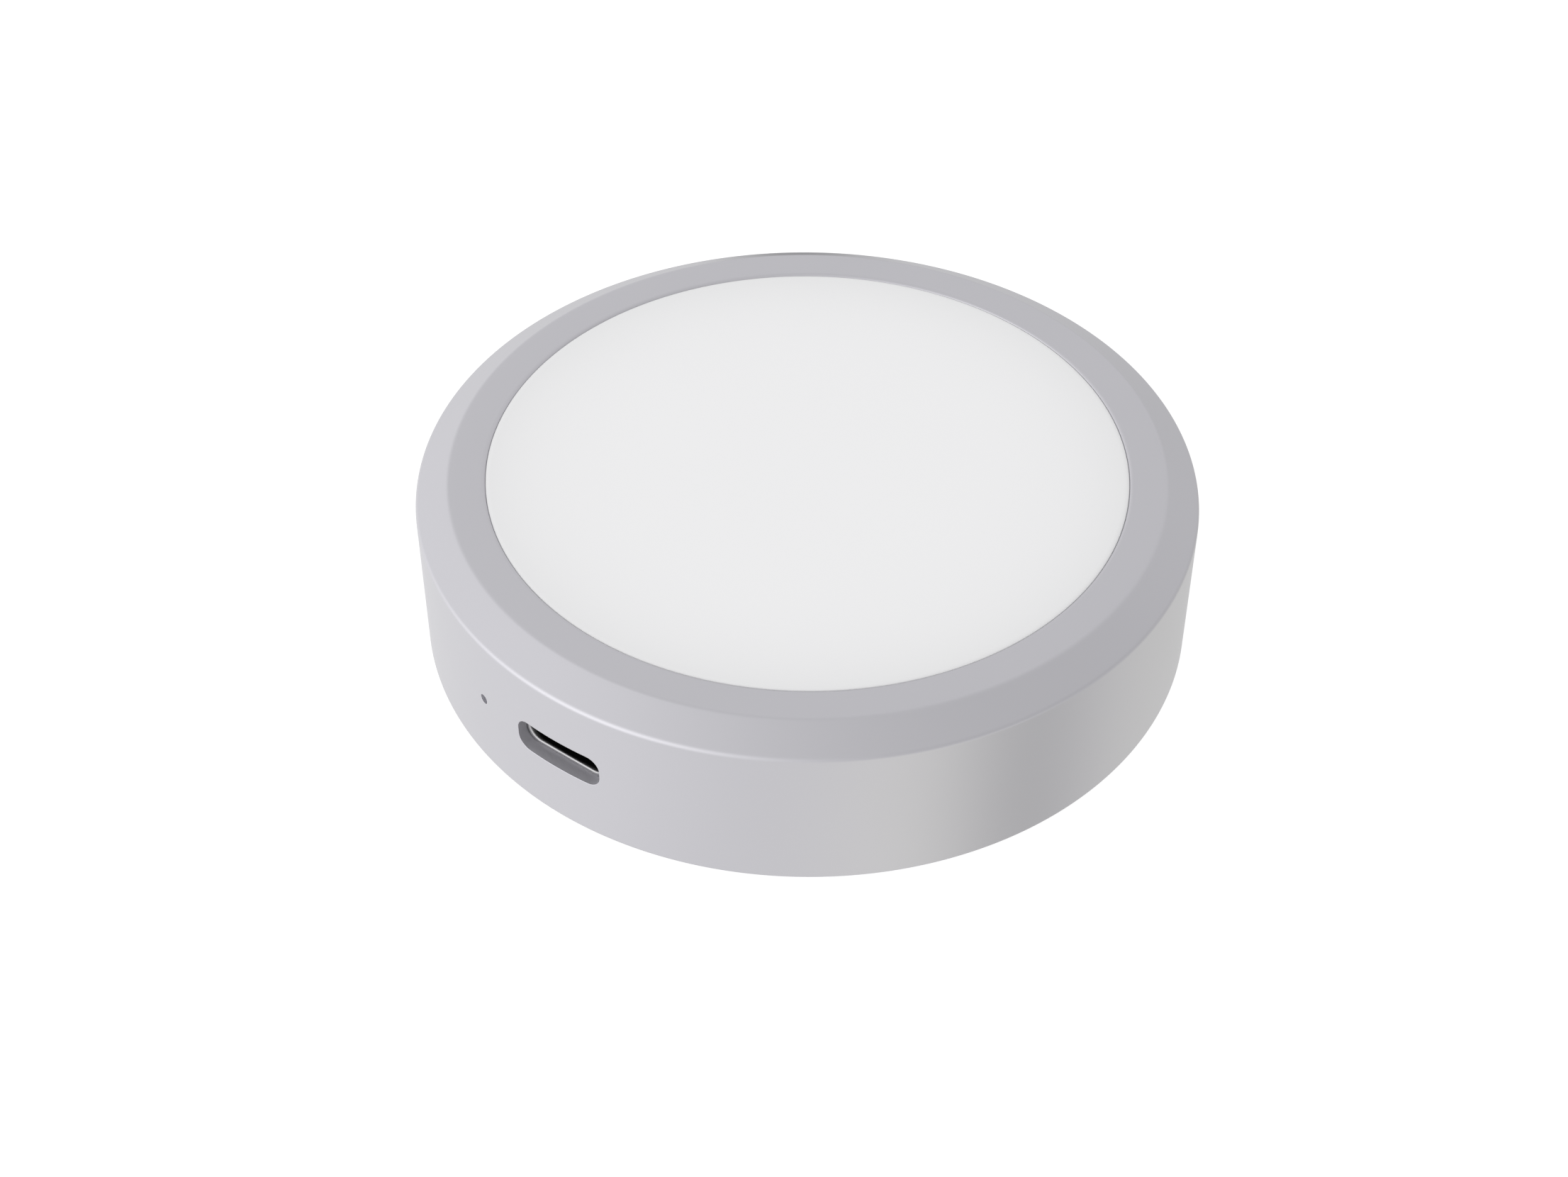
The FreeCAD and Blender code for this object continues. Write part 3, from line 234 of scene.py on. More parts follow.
def round_corners(corners, steps=6, hold=0.06):
    """A closed outline with its corners rounded. Each corner is (x, y, radius).

    Beside each rounding a short straight step, hold, keeps the flat's shading flat."""
    points = []
    count = len(corners)
    for i, (x, y, radius) in enumerate(corners):
        here = Vector((x, y))
        if radius <= 0:
            points.append(here)
            continue
        before = Vector(corners[i - 1][:2]) - here
        after = Vector(corners[(i + 1) % count][:2]) - here
        before.normalize()
        after.normalize()
        half = before.angle(after) / 2
        reach = radius / abs(sin(half) / cos(half))
        centre = here + (before + after).normalized() * (radius / sin(half))
        start = here + before * reach - centre
        end = here + after * reach - centre
        swing = start.angle_signed(end)
        points.append(here + before * (reach + hold))
        for k in range(steps + 1):
            turn = -swing * k / steps
            points.append(centre + Matrix.Rotation(turn, 2) @ start)
        points.append(here + after * (reach + hold))
    return points


def eased_edge(radius, height, edge, steps=7):
    """Corners along a quarter ellipse between a flat top and an upright side at a radius.

    A width over 0 eases an outer edge, and one under 0 an opening's edge."""
    corners = []
    for k in range(steps + 1):
        angle = pi / 2 * k / steps
        back, drop = edge.width * (1 - sin(angle)), edge.depth * (1 - cos(angle))
        corners.append((radius - back, height - drop, 0))
    return corners


def fan(bm, ring, middle):
    """Triangles between a closed loop of vertices and a point in its middle."""
    centre = bm.verts.new(middle)
    for i, vertex in enumerate(ring):
        bm.faces.new((vertex, ring[(i + 1) % len(ring)], centre))


def revolve_loops(bm, outline, columns, x=0.0, y=0.0):
    """Vertices of an outline of (radius, height) points turned about the upright line at x, y."""
    rings = []
    for radius, height in outline:
        ring = []
        for c in range(columns):
            angle = 2 * pi * c / columns
            ring.append(bm.verts.new((x + radius * cos(angle), y + radius * sin(angle), height)))
        rings.append(ring)
    return rings


def revolved(name, outline, material):
    """A closed ring: its outline of (radius, height) points turned about Z."""
    bm = bmesh.new()
    rings = revolve_loops(bm, outline, COLUMNS)
    for i, ring in enumerate(rings):
        bridge(bm, ring, rings[(i + 1) % len(rings)])
    return finish_mesh(name, bm, material)


def turned_disc(outline):
    """A solid disc: the outline runs from the top's middle, over the edge, to the bottom's."""
    bm = bmesh.new()
    rings = revolve_loops(bm, outline, COLUMNS)
    for lower, upper in zip(rings, rings[1:]):
        bridge(bm, lower, upper)
    fan(bm, rings[0], (0, 0, outline[0].y))
    fan(bm, rings[-1], (0, 0, outline[-1].y))
    return bm


def rounded_rectangle(width, height, corner, steps=8):
    """Points (x, z) of a rectangle with round corners, centred on the origin."""
    points = []
    for turn, (sx, sz) in enumerate(((1, -1), (1, 1), (-1, 1), (-1, -1))):
        cx, cz = sx * (width / 2 - corner), sz * (height / 2 - corner)
        for k in range(steps + 1):
            angle = (turn - 1) * pi / 2 + k * pi / 2 / steps
            points.append((cx + corner * cos(angle), cz + corner * sin(angle)))
    return points


def loft(bm, sections):
    """A solid along +Y through rounded rectangles (depth, width, height, corner, centre_z)."""
    loops = []
    for depth, width, height, corner, centre_z in sections:
        outline = rounded_rectangle(width, height, corner)
        loops.append(loop_at(bm, [(x, depth, z + centre_z) for x, z in outline]))
    for lower, upper in zip(loops, loops[1:]):
        bridge(bm, lower, upper)
    bm.faces.new(loops[0])
    bm.faces.new(loops[-1])


def add_turned(bm, outline, x, y):
    """A solid turned about a vertical line: its outline runs from the axis back to the axis."""
    rings = revolve_loops(bm, outline[1:-1], SCREW_COLUMNS, x, y)
    for lower, upper in zip(rings, rings[1:]):
        bridge(bm, lower, upper)
    fan(bm, rings[0], (x, y, outline[0][1]))
    fan(bm, rings[-1], (x, y, outline[-1][1]))


def add_mesh(bm, other):
    """Moves everything in another bmesh into this one."""
    mesh = bpy.data.meshes.new("moving")
    other.to_mesh(mesh)
    other.free()
    bm.from_mesh(mesh)
    bpy.data.meshes.remove(mesh)


def add_box(bm, low, high, soft=0.0):
    """A block between two corners, with its edges bevelled if soft is over 0."""
    made = bmesh.ops.create_cube(bm, size=1.0)["verts"]
    size = Vector(high) - Vector(low)
    middle = (Vector(high) + Vector(low)) / 2
    bmesh.ops.scale(bm, vec=size, verts=made)
    bmesh.ops.translate(bm, vec=middle, verts=made)
    if soft > 0:
        edges = {e for v in made for e in v.link_edges}
        bmesh.ops.bevel(bm, geom=list(edges), offset=soft, segments=2, affect="EDGES", profile=0.5)


def spots_on(row):
    """(x, y) of each place on a circle of screws or pillars."""
    for angle in row.angles:
        yield row.circle * cos(radians(angle)), row.circle * sin(radians(angle))


def port_matrix(direction, distance):
    """Moves a piece drawn with its mouth at the origin, facing -Y, to its port."""
    outward = Vector((cos(radians(direction)), sin(radians(direction)), 0))
    turn = Matrix.Rotation(radians(direction + 90.0), 4, "Z")
    return Matrix.Translation(outward * distance + Vector((0, 0, PORT_Z))) @ turn


# --- materials ------------------------------------------------------------------------


def feed(tree, socket, value):
    """Gives a socket its value, which is another node's output or a constant."""
    if isinstance(value, bpy.types.NodeSocket):
        tree.links.new(value, socket)
    else:
        socket.default_value = value


def add_math(tree, operation, *values):
    """The result of a Math node."""
    made = tree.nodes.new("ShaderNodeMath")
    made.operation = operation
    for socket, value in zip(made.inputs, values):
        feed(tree, socket, value)
    return made.outputs[0]


def add_tint(tree, factor, color_a, color_b):
    """A colour between two, by a factor. Each of the two may be another node's output."""
    made = tree.nodes.new("ShaderNodeMix")
    made.data_type = "RGBA"
    feed(tree, made.inputs["Factor"], factor)
    color_sockets = [socket for socket in made.inputs if socket.type == "RGBA"]
    for socket, color in zip(color_sockets, (color_a, color_b)):
        if isinstance(color, tuple):
            color = (*color, 1.0)
        feed(tree, socket, color)
    return next(socket for socket in made.outputs if socket.type == "RGBA")


class Shader:
    """A Principled material whose nodes are added one line at a time."""

    def __init__(self, name, color, roughness, metallic=0.0):
        self.material = bpy.data.materials.new(name)
        self.material.use_nodes = True
        self.tree = self.material.node_tree
        self.surface = self.tree.nodes["Principled BSDF"]
        self.surface.inputs["Base Color"].default_value = (*color, 1.0)
        self.surface.inputs["Roughness"].default_value = roughness
        self.surface.inputs["Metallic"].default_value = metallic
        self.coordinates = self.tree.nodes.new("ShaderNodeTexCoord").outputs["Object"]

    def node(self, kind, inputs=None, **settings):
        """A node with these settings, and with each input fed by name or number."""
        made = self.tree.nodes.new(kind)
        for name, value in settings.items():
            setattr(made, name, value)
        for name, value in (inputs or {}).items():
            feed(self.tree, made.inputs[name], value)
        return made

    def set(self, name, value):
        """A constant on the surface's own socket."""
        self.surface.inputs[name].default_value = value

    def link(self, name, socket):
        self.tree.links.new(socket, self.surface.inputs[name])

    def noise(self, size_mm, detail=3.0):
        """Noise whose features are about this many millimetres across."""
        settings = {"Vector": self.coordinates, "Scale": 1.0 / (size_mm * MM), "Detail": detail}
        return self.node("ShaderNodeTexNoise", settings).outputs["Fac"]

    def spread(self, factor, low, high):
        """A factor of 0 to 1 mapped to a range."""
        made = self.node("ShaderNodeMapRange", {"Value": factor, "To Min": low, "To Max": high})
        return made.outputs["Result"]

    def tint(self, factor, color_a, color_b):
        return add_tint(self.tree, factor, color_a, color_b)

    def math(self, operation, *values):
        return add_math(self.tree, operation, *values)

    def radius(self):
        """Distance from the hub's upright axis."""
        level = {0: self.coordinates, 1: (1.0, 1.0, 0.0)}
        flat = self.node("ShaderNodeVectorMath", level, operation="MULTIPLY").outputs[0]
        return self.node("ShaderNodeVectorMath", {0: flat}, operation="LENGTH").outputs["Value"]

    def height(self):
        """Height above the ground."""
        return self.node("ShaderNodeSeparateXYZ", {0: self.coordinates}).outputs["Z"]

    def ramp(self, value, start_mm, end_mm):
        """A length mapped to 0 at its start and before, and 1 at its end and beyond."""
        settings = {"Value": value, "From Min": start_mm * MM, "From Max": end_mm * MM}
        return self.node("ShaderNodeMapRange", settings).outputs["Result"]

    def bump(self, height, depth_mm):
        """Relief of this depth over a height of 0 to 1."""
        settings = {"Height": height, "Strength": 1.0, "Distance": depth_mm * MM}
        self.link("Normal", self.node("ShaderNodeBump", settings).outputs["Normal"])


# The milled metal is lighter and rougher than the blasted. The disc has painted shade, darkest at
# its edge, and the power says how near the edge that comes. The inside of a shell has painted
# shade, from the radius given below inwards, faded in over the fade width given below.
BLASTED_ROUGHNESS = 0.30
MILLED_SHADE, MILLED_ROUGHNESS = 1.12, 0.70
DISC_PAINTED_SHADE, DISC_PAINTED_SHADE_POWER = 0.915, 6.0
SHELL_PAINTED_SHADE_RADIUS, PAINTED_SHADE_FADE = 35.12, 0.25


def shade(color, factor):
    """A colour made lighter or darker by a factor."""
    return tuple(min(1.0, c * factor) for c in color)


def anodised_aluminium():
    """Bead-blasted, clear-anodised aluminium: fine matt grain and a faint lilac tint.

    Inside the wall, in the cut-outs and the pinhole, the milled metal is left rough."""
    color = (0.537, 0.531, 0.562)
    made = Shader("anodised_aluminium", color, BLASTED_ROUGHNESS, metallic=1.0)
    cloud = made.noise(9.0, detail=2.0)
    grain = made.noise(0.12, detail=2.0)
    inside = made.ramp(made.radius(), BODY_RADIUS - 0.02, BODY_RADIUS - 0.10)
    low = made.ramp(made.height(), TOP_Z - BEVEL_DROP - 0.8, TOP_Z - BEVEL_DROP - 1.2)
    milled = made.math("MULTIPLY", inside, low)
    blasted = made.tint(cloud, shade(color, 0.992), shade(color, 1.008))
    made.link("Base Color", made.tint(milled, blasted, shade(color, MILLED_SHADE)))
    smooth = made.spread(grain, BLASTED_ROUGHNESS - 0.02, BLASTED_ROUGHNESS + 0.02)
    rougher = MILLED_ROUGHNESS - BLASTED_ROUGHNESS
    made.link("Roughness", made.math("MULTIPLY_ADD", milled, rougher, smooth))
    made.bump(grain, 0.0005)
    return made.material


def white_plastic():
    """Smooth satin polycarbonate with a faint mould grain, and painted shade that darkens it
    towards its edge.
    """
    color = (0.865, 0.865, 0.872)
    made = Shader("white_plastic", color, 0.45)
    cloud = made.noise(14.0, detail=2.0)
    grain = made.noise(0.12, detail=2.0)
    # Painted shade: the disc's colour is darkened towards its edge.
    share = made.math("DIVIDE", made.radius(), DISC_RADIUS * MM)
    painted_edge_shade = made.math("POWER", share, DISC_PAINTED_SHADE_POWER)
    middle = made.tint(cloud, shade(color, 0.996), shade(color, 1.004))
    made.link("Base Color", made.tint(painted_edge_shade, middle, shade(color, DISC_PAINTED_SHADE)))
    made.link("Roughness", made.spread(grain, 0.42, 0.48))
    made.bump(grain, 0.0005)
    return made.material


def plain_plastic(name, color, roughness, grain_mm=0.15, depth_mm=0.002):
    """Moulded plastic with a fine spark-eroded texture."""
    made = Shader(name, color, roughness)
    grain = made.noise(grain_mm, detail=3.0)
    cloud = made.noise(grain_mm * 40, detail=2.0)
    made.link("Base Color", made.tint(cloud, shade(color, 0.93), shade(color, 1.07)))
    made.link("Roughness", made.spread(grain, roughness - 0.05, min(1.0, roughness + 0.07)))
    made.bump(grain, depth_mm)
    return made.material


def plated_metal(name, color, roughness, painted_shade_within=None):
    """Rolled and plated sheet with patchy polish, and painted shade that darkens it further in than
    a radius.
    """
    made = Shader(name, color, roughness, metallic=1.0)
    lines = made.noise(0.25, detail=3.0)
    cloud = made.noise(3.0, detail=2.0)
    plating_and_shade = made.tint(cloud, shade(color, 0.94), shade(color, 1.04))
    if painted_shade_within is not None:
        # Painted shade: deeper into the mouth than the radius, the shell's colour goes almost to
        # black.
        inside = made.ramp(made.radius(), painted_shade_within, painted_shade_within - PAINTED_SHADE_FADE)
        plating_and_shade = made.tint(inside, plating_and_shade, shade(color, 0.08))
    made.link("Base Color", plating_and_shade)
    made.link("Roughness", made.spread(lines, roughness - 0.06, roughness + 0.10))
    made.bump(lines, 0.0008)
    return made.material


def rubber(name, color, roughness=0.75):
    """Matt silicone with dust-fine pitting."""
    made = Shader(name, color, roughness)
    grain = made.noise(0.3, detail=4.0)
    cloud = made.noise(12.0, detail=3.0)
    made.link("Base Color", made.tint(cloud, shade(color, 0.88), shade(color, 1.12)))
    made.link("Roughness", made.spread(grain, roughness - 0.08, roughness + 0.10))
    made.bump(grain, 0.006)
    return made.material


def board_laminate():
    """Green solder mask over the faint squares of woven glass and copper pours."""
    color = (0.010, 0.070, 0.038)
    made = Shader("board_laminate", color, 0.30)
    pours = made.node(
        "ShaderNodeTexVoronoi", {"Vector": made.coordinates, "Scale": 260.0}, distance="MANHATTAN"
    ).outputs["Distance"]
    weave = made.noise(0.4, detail=2.0)
    made.link("Base Color", made.tint(pours, shade(color, 0.75), shade(color, 1.5)))
    made.link("Roughness", made.spread(weave, 0.26, 0.38))
    made.bump(weave, 0.004)
    return made.material


def wound_copper():
    """Enamelled wire: copper under clear varnish, with lines along each turn."""
    color = (0.78, 0.34, 0.16)
    made = Shader("wound_copper", color, 0.28, metallic=1.0)
    strands = made.noise(0.35, detail=3.0)
    made.link("Base Color", made.tint(strands, shade(color, 0.75), shade(color, 1.1)))
    made.link("Roughness", made.spread(strands, 0.2, 0.4))
    made.bump(strands, 0.01)
    made.set("Coat Weight", 0.5)
    return made.material


def clear_guide():
    """Lightly frosted clear plastic."""
    made = Shader("light_guide", (0.80, 0.81, 0.84), 0.35)
    grain = made.noise(0.2, detail=2.0)
    made.link("Roughness", made.spread(grain, 0.30, 0.45))
    made.set("Transmission Weight", 0.4)
    made.set("IOR", 1.58)
    return made.material


MATERIALS = {
    "anodised_aluminium": anodised_aluminium(),
    "white_disc": white_plastic(),
    "foam_tape": rubber("foam_tape", (0.80, 0.80, 0.78), 0.8),
    "copper_wire": wound_copper(),
    "ferrite": plain_plastic("ferrite", (0.07, 0.07, 0.075), 0.6, 0.5, 0.01),
    "carrier_plastic": plain_plastic("carrier_plastic", (0.045, 0.045, 0.05), 0.5),
    "board_laminate": board_laminate(),
    "plated_steel": plated_metal("plated_steel", (0.50, 0.495, 0.50), 0.34, SHELL_PAINTED_SHADE_RADIUS),
    "port_plastic": plain_plastic("port_plastic", (0.010, 0.010, 0.011), 0.45),
    "gold_contacts": plated_metal("gold_contacts", (0.86, 0.62, 0.28), 0.22),
    "chip_resin": plain_plastic("chip_resin", (0.02, 0.02, 0.022), 0.55),
    "ceramic": plain_plastic("ceramic", (0.42, 0.31, 0.20), 0.5),
    "capacitor_can": plated_metal("capacitor_can", (0.70, 0.70, 0.71), 0.25),
    "screw_steel": plated_metal("screw_steel", (0.30, 0.30, 0.31), 0.35),
    "light_guide": clear_guide(),
    "led_resin": plain_plastic("led_resin", (0.80, 0.78, 0.50), 0.25),
    "silicone": rubber("silicone", (0.09, 0.09, 0.095)),
    "gap_pad": rubber("gap_pad", (0.28, 0.40, 0.55), 0.85),
}


# --- housing --------------------------------------------------------------------------

# Rows of the wall's grid above and below the ports' middle, where the openings are cut in.
ROW_STEP = 0.42
ROWS_EACH_SIDE = 10


def nearest_on_outline(s, z, shape, offset):
    """The point of a rounded rectangle's outline, grown by offset, that is nearest to (s, z)."""
    width, height, corner = shape
    reach_s, reach_z = width / 2 - corner, height / 2 - corner
    core = Vector((max(-reach_s, min(reach_s, s)), max(-reach_z, min(reach_z, z))))
    out = Vector((s, z)) - core
    return core + out.normalized() * (corner + offset)


def openings():
    """(direction, outline, rim fillet, half width in columns, half height in rows) of each hole."""
    pinhole = (2 * PINHOLE_RADIUS, 2 * PINHOLE_RADIUS, PINHOLE_RADIUS)
    found = [(PINHOLE_DIRECTION, pinhole, RIM_FILLET, 3, 4)]
    for _, kind, direction in PORTS:
        found.append((direction, kind.cut_out, RIM_FILLET, *kind.window))
    return found


def housing_outline():
    """The wall's section, and where its port rows are on the outside and the inside."""
    rows = [PORT_Z + k * ROW_STEP for k in range(-ROWS_EACH_SIDE, ROWS_EACH_SIDE + 1)]
    lower = round_corners(
        [
            (SEAT_RADIUS, FOOT_Z, 0),
            (BODY_RADIUS, FOOT_Z, FOOT_FILLET),
            (BODY_RADIUS, PORT_Z, 0),
        ],
        steps=3,
    )[:-1]
    upper = round_corners(
        [
            (BODY_RADIUS, PORT_Z, 0),
            (BODY_RADIUS, TOP_Z - BEVEL_DROP, BEVEL_FILLET),
            (RING_RADIUS, TOP_Z, RING_FILLET),
            *eased_edge(BORE_RADIUS, TOP_Z, BORE_EDGE),
            (BORE_RADIUS, LEDGE_Z, 0),
            (LEDGE_RADIUS, LEDGE_Z, LEDGE_FILLET),
            (LEDGE_RADIUS, WEB_Z, LEDGE_FILLET),
            (INNER_RADIUS, WEB_Z, 0),
            (INNER_RADIUS, PORT_Z, 0),
        ]
    )[1:-1]
    outside = [Vector((BODY_RADIUS, z)) for z in rows]
    inside = [Vector((INNER_RADIUS, z)) for z in reversed(rows)]
    last = [Vector((INNER_RADIUS, COVER_TOP_Z)), Vector((SEAT_RADIUS, COVER_TOP_Z))]
    outline = lower + outside + upper + inside + last
    outer_row = len(lower)
    inner_row = len(lower) + len(outside) + len(upper) + len(rows) - 1
    return outline, outer_row, inner_row


def make_housing():
    """The wall, bevel, ring and disc shelf, with openings, pillars, bosses and flats."""
    bm = bmesh.new()
    outline, outer_row, inner_row = housing_outline()
    rings = revolve_loops(bm, outline, COLUMNS)
    left_out = set()
    windows = []
    for direction, shape, fillet, half_columns, half_rows in openings():
        middle = round(direction)
        low, high = ROWS_EACH_SIDE - half_rows, ROWS_EACH_SIDE + half_rows
        for column in range(middle - half_columns, middle + half_columns):
            for row in range(low, high):
                left_out.add((outer_row + row, column % COLUMNS))
                left_out.add((inner_row - row - 1, column % COLUMNS))
        windows.append((direction, shape, fillet, middle, half_columns, low, high))
    for i in range(len(rings)):
        following = rings[(i + 1) % len(rings)]
        for c in range(COLUMNS):
            if (i, c) in left_out:
                continue
            d = (c + 1) % COLUMNS
            bm.faces.new((rings[i][c], rings[i][d], following[d], following[c]))
    for window in windows:
        fill_window(bm, rings, outer_row, inner_row, *window)
    bm = carve(bm, pillars_and_bosses(), "UNION")
    bm = carve(bm, flats_and_threads(), "DIFFERENCE")
    return finish_mesh("housing_body", bm, MATERIALS["anodised_aluminium"])


def pillars_and_bosses():
    """The posts that cover and board are screwed to, each with its blind threaded hole."""
    into_web = WEB_Z + 0.5
    bm = bmesh.new()
    for row, foot in ((PILLARS, COVER_TOP_Z), (BOSSES, BOARD_TOP_Z)):
        for x, y in spots_on(row):
            outline = [
                (0, foot + THREAD_DEPTH),
                (THREAD_RADIUS, foot + THREAD_DEPTH),
                (THREAD_RADIUS, foot),
                (row.radius, foot),
                (row.radius, into_web),
                (0, into_web),
            ]
            add_turned(bm, outline, x, y)
    return bm


def flats_and_threads():
    """What is milled out from inside: a flat behind each port, and the carrier's holes."""
    bm = bmesh.new()
    below = WEB_Z - 1
    for _, kind, direction in PORTS:
        width, height, _ = kind.cut_out
        half, top = width / 2 + kind.flat_margin[0], height / 2 + kind.flat_margin[1]
        corners = ((-half, 0, COVER_TOP_Z - PORT_Z), (half, kind.flat - BORE_RADIUS, top))
        block = bmesh.new()
        add_box(block, *corners)
        bmesh.ops.transform(block, matrix=port_matrix(direction, kind.flat), verts=block.verts)
        add_mesh(bm, block)
    for x, y in spots_on(CARRIER_HOLES):
        radius, top = CARRIER_HOLES.radius, WEB_Z + CARRIER_HOLES.depth
        add_turned(bm, [(0, below), (radius, below), (radius, top), (0, top)], x, y)
    return bm


def fill_window(bm, rings, outer_row, inner_row, direction, shape, fillet, middle, half, low, high):
    """Joins a gap in the wall's grid to an opening: rim, tunnel and inner edge.

    Beside the rim's rounding a short straight step keeps the wall's and tunnel's shading flat."""
    hold_on_wall, hold_in_tunnel, into_tunnel = 0.05, 0.04, 1.0
    left, right = middle - half, middle + half
    frame_cells = [(c, low) for c in range(left, right)]
    frame_cells += [(right, r) for r in range(low, high)]
    frame_cells += [(c, high) for c in range(right, left, -1)]
    frame_cells += [(left, r) for r in range(high, low, -1)]
    outer_frame = [rings[outer_row + r][c % COLUMNS] for c, r in frame_cells]
    inner_frame = [rings[inner_row - r][c % COLUMNS] for c, r in frame_cells]
    turn = Matrix.Rotation(radians(direction - 90.0), 4, "Z")
    unturn = turn.inverted()

    def spots(frame_loop):
        """(sideways, height above the port's middle) of a loop's vertices."""
        local = [unturn @ v.co for v in frame_loop]
        return [(p.x, p.z - PORT_Z) for p in local]

    def on_wall(points, radius, depth=0.0):
        """A loop of vertices on the wall's cylinder, or some depth inside it."""
        return loop_at(
            bm, [turn @ Vector((s, sqrt(radius**2 - s**2) - depth, PORT_Z + z)) for s, z in points]
        )

    outer_spots = spots(outer_frame)
    loops = [outer_frame]
    rim = [nearest_on_outline(s, z, shape, fillet + hold_on_wall) for s, z in outer_spots]
    for share in (0.35, 0.65, 0.87, 1.0):
        blend = [
            (s + (p.x - s) * share, z + (p.y - z) * share) for (s, z), p in zip(outer_spots, rim)
        ]
        loops.append(on_wall(blend, BODY_RADIUS))
    steps = 3
    for k in range(steps + 1):
        angle = pi / 2 * k / steps
        offset, depth = fillet * (1 - sin(angle)), fillet * (1 - cos(angle))
        points = [nearest_on_outline(s, z, shape, offset) for s, z in outer_spots]
        loops.append(on_wall(points, BODY_RADIUS, depth))
    edge = [nearest_on_outline(s, z, shape, 0.0) for s, z in outer_spots]
    loops.append(on_wall(edge, BODY_RADIUS, fillet + hold_in_tunnel))
    loops.append(on_wall(edge, BODY_RADIUS, into_tunnel))
    loops.append(on_wall(edge, INNER_RADIUS))
    inner_spots = spots(inner_frame)
    blend = [((s + p.x) / 2, (z + p.y) / 2) for (s, z), p in zip(inner_spots, edge)]
    loops.append(on_wall(blend, INNER_RADIUS))
    loops.append(inner_frame)
    for lower, upper in zip(loops, loops[1:]):
        bridge(bm, lower, upper)


# --- top disc, cover and foot ---------------------------------------------------------


def make_top_disc():
    """The white disc, with an eased upper edge."""
    outline = round_corners(
        [
            (MIDDLE_RADIUS, DISC_HIGH.z, 0),
            *eased_edge(DISC_RADIUS, DISC_HIGH.z, DISC_EDGE),
            (DISC_RADIUS, DISC_LOW.z, 0.1),
            (MIDDLE_RADIUS, DISC_LOW.z, 0),
        ]
    )
    bm = turned_disc(outline)
    return finish_mesh("charging_disc", bm, MATERIALS["white_disc"])


def make_bottom_cover():
    """The cover plate, with a groove for the foot ring and its screw holes in the groove."""
    groove_in, groove_out, groove_fillet = 28.8, 34.6, 0.12
    groove_z = FOOT_HIGH.z
    outline = round_corners(
        [
            (MIDDLE_RADIUS, COVER_LOW.z, 0),
            (groove_in, COVER_LOW.z, groove_fillet),
            (groove_in, groove_z, 0),
            (groove_out, groove_z, 0),
            (groove_out, COVER_LOW.z, groove_fillet),
            (COVER_RADIUS, COVER_LOW.z, 0.15),
            (COVER_RADIUS, COVER_TOP_Z, 0.1),
            (MIDDLE_RADIUS, COVER_TOP_Z, 0),
        ],
        steps=4,
    )
    bm = turned_disc(outline)
    holes = bmesh.new()
    hole_radius, head_radius, head_height, overlap = THREAD_RADIUS + 0.1, 1.95, 0.5, 0.5
    head_top = groove_z + head_height
    low, high = groove_z - overlap, COVER_TOP_Z + overlap
    for x, y in spots_on(PILLARS):
        outline = [
            (0, low),
            (head_radius, low),
            (head_radius, head_top),
            (hole_radius, head_top),
            (hole_radius, high),
            (0, high),
        ]
        add_turned(holes, outline, x, y)
    bm = carve(bm, holes, "DIFFERENCE")
    return finish_mesh("cover_plate", bm, MATERIALS["anodised_aluminium"])


def make_foot_ring():
    """The silicone ring that the hub stands on."""
    inner, outer, ground_fillet, groove_fillet = 28.85, FOOT_HIGH.x, 0.25, 0.05
    outline = round_corners(
        [
            (inner, FOOT_LOW.z, ground_fillet),
            (inner, FOOT_HIGH.z, groove_fillet),
            (outer, FOOT_HIGH.z, groove_fillet),
            (outer, FOOT_LOW.z, ground_fillet),
        ],
        steps=5,
    )
    return revolved("silicone_foot", outline, MATERIALS["silicone"])


# --- receptacles ----------------------------------------------------------------------


def finish_port_piece(name, bm, slot, direction, face, *replaced):
    """Moves a piece to its port and says which CAD nodes it stands for."""
    bmesh.ops.transform(bm, matrix=port_matrix(direction, face), verts=bm.verts)
    piece = finish_mesh(name, bm, MATERIALS[slot])
    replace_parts(piece, *replaced)


def shell_sections(kind):
    """Sections of a pressed shell: from its inner back, out over the flared lip and back again.

    Behind the lip the flare is whole as far as full_flare, and gone at no_flare."""
    mouth_width, mouth_height, mouth_corner = kind.mouth
    flare, inner_lip, outer_lip, steps = kind.flare, kind.inner_lip, 0.03, 5
    hold, full_flare, no_flare = 0.35, 0.3, 0.6
    sections = [(kind.back, *kind.mouth, 0), (inner_lip + hold, *kind.mouth, 0)]
    for k in range(steps + 1):
        angle = pi / 2 * k / steps
        grow, depth = inner_lip * (1 - cos(angle)), inner_lip * (1 - sin(angle))
        wide = mouth_width + 2 * (grow + flare)
        sections.append((depth, wide, mouth_height + 2 * grow, mouth_corner + grow, 0))
    for k in range(steps + 1):
        angle = pi / 2 * k / steps
        less, depth = outer_lip * (1 - sin(angle)), outer_lip * (1 - cos(angle))
        wide = kind.width + 2 * (flare - less)
        sections.append((depth, wide, kind.height - 2 * less, kind.corner - less, 0))
    sections.append((outer_lip + full_flare, kind.width + 2 * flare, kind.height, kind.corner, 0))
    for depth in (outer_lip + no_flare, kind.depth):
        sections.append((depth, kind.width, kind.height, kind.corner, 0))
    return sections


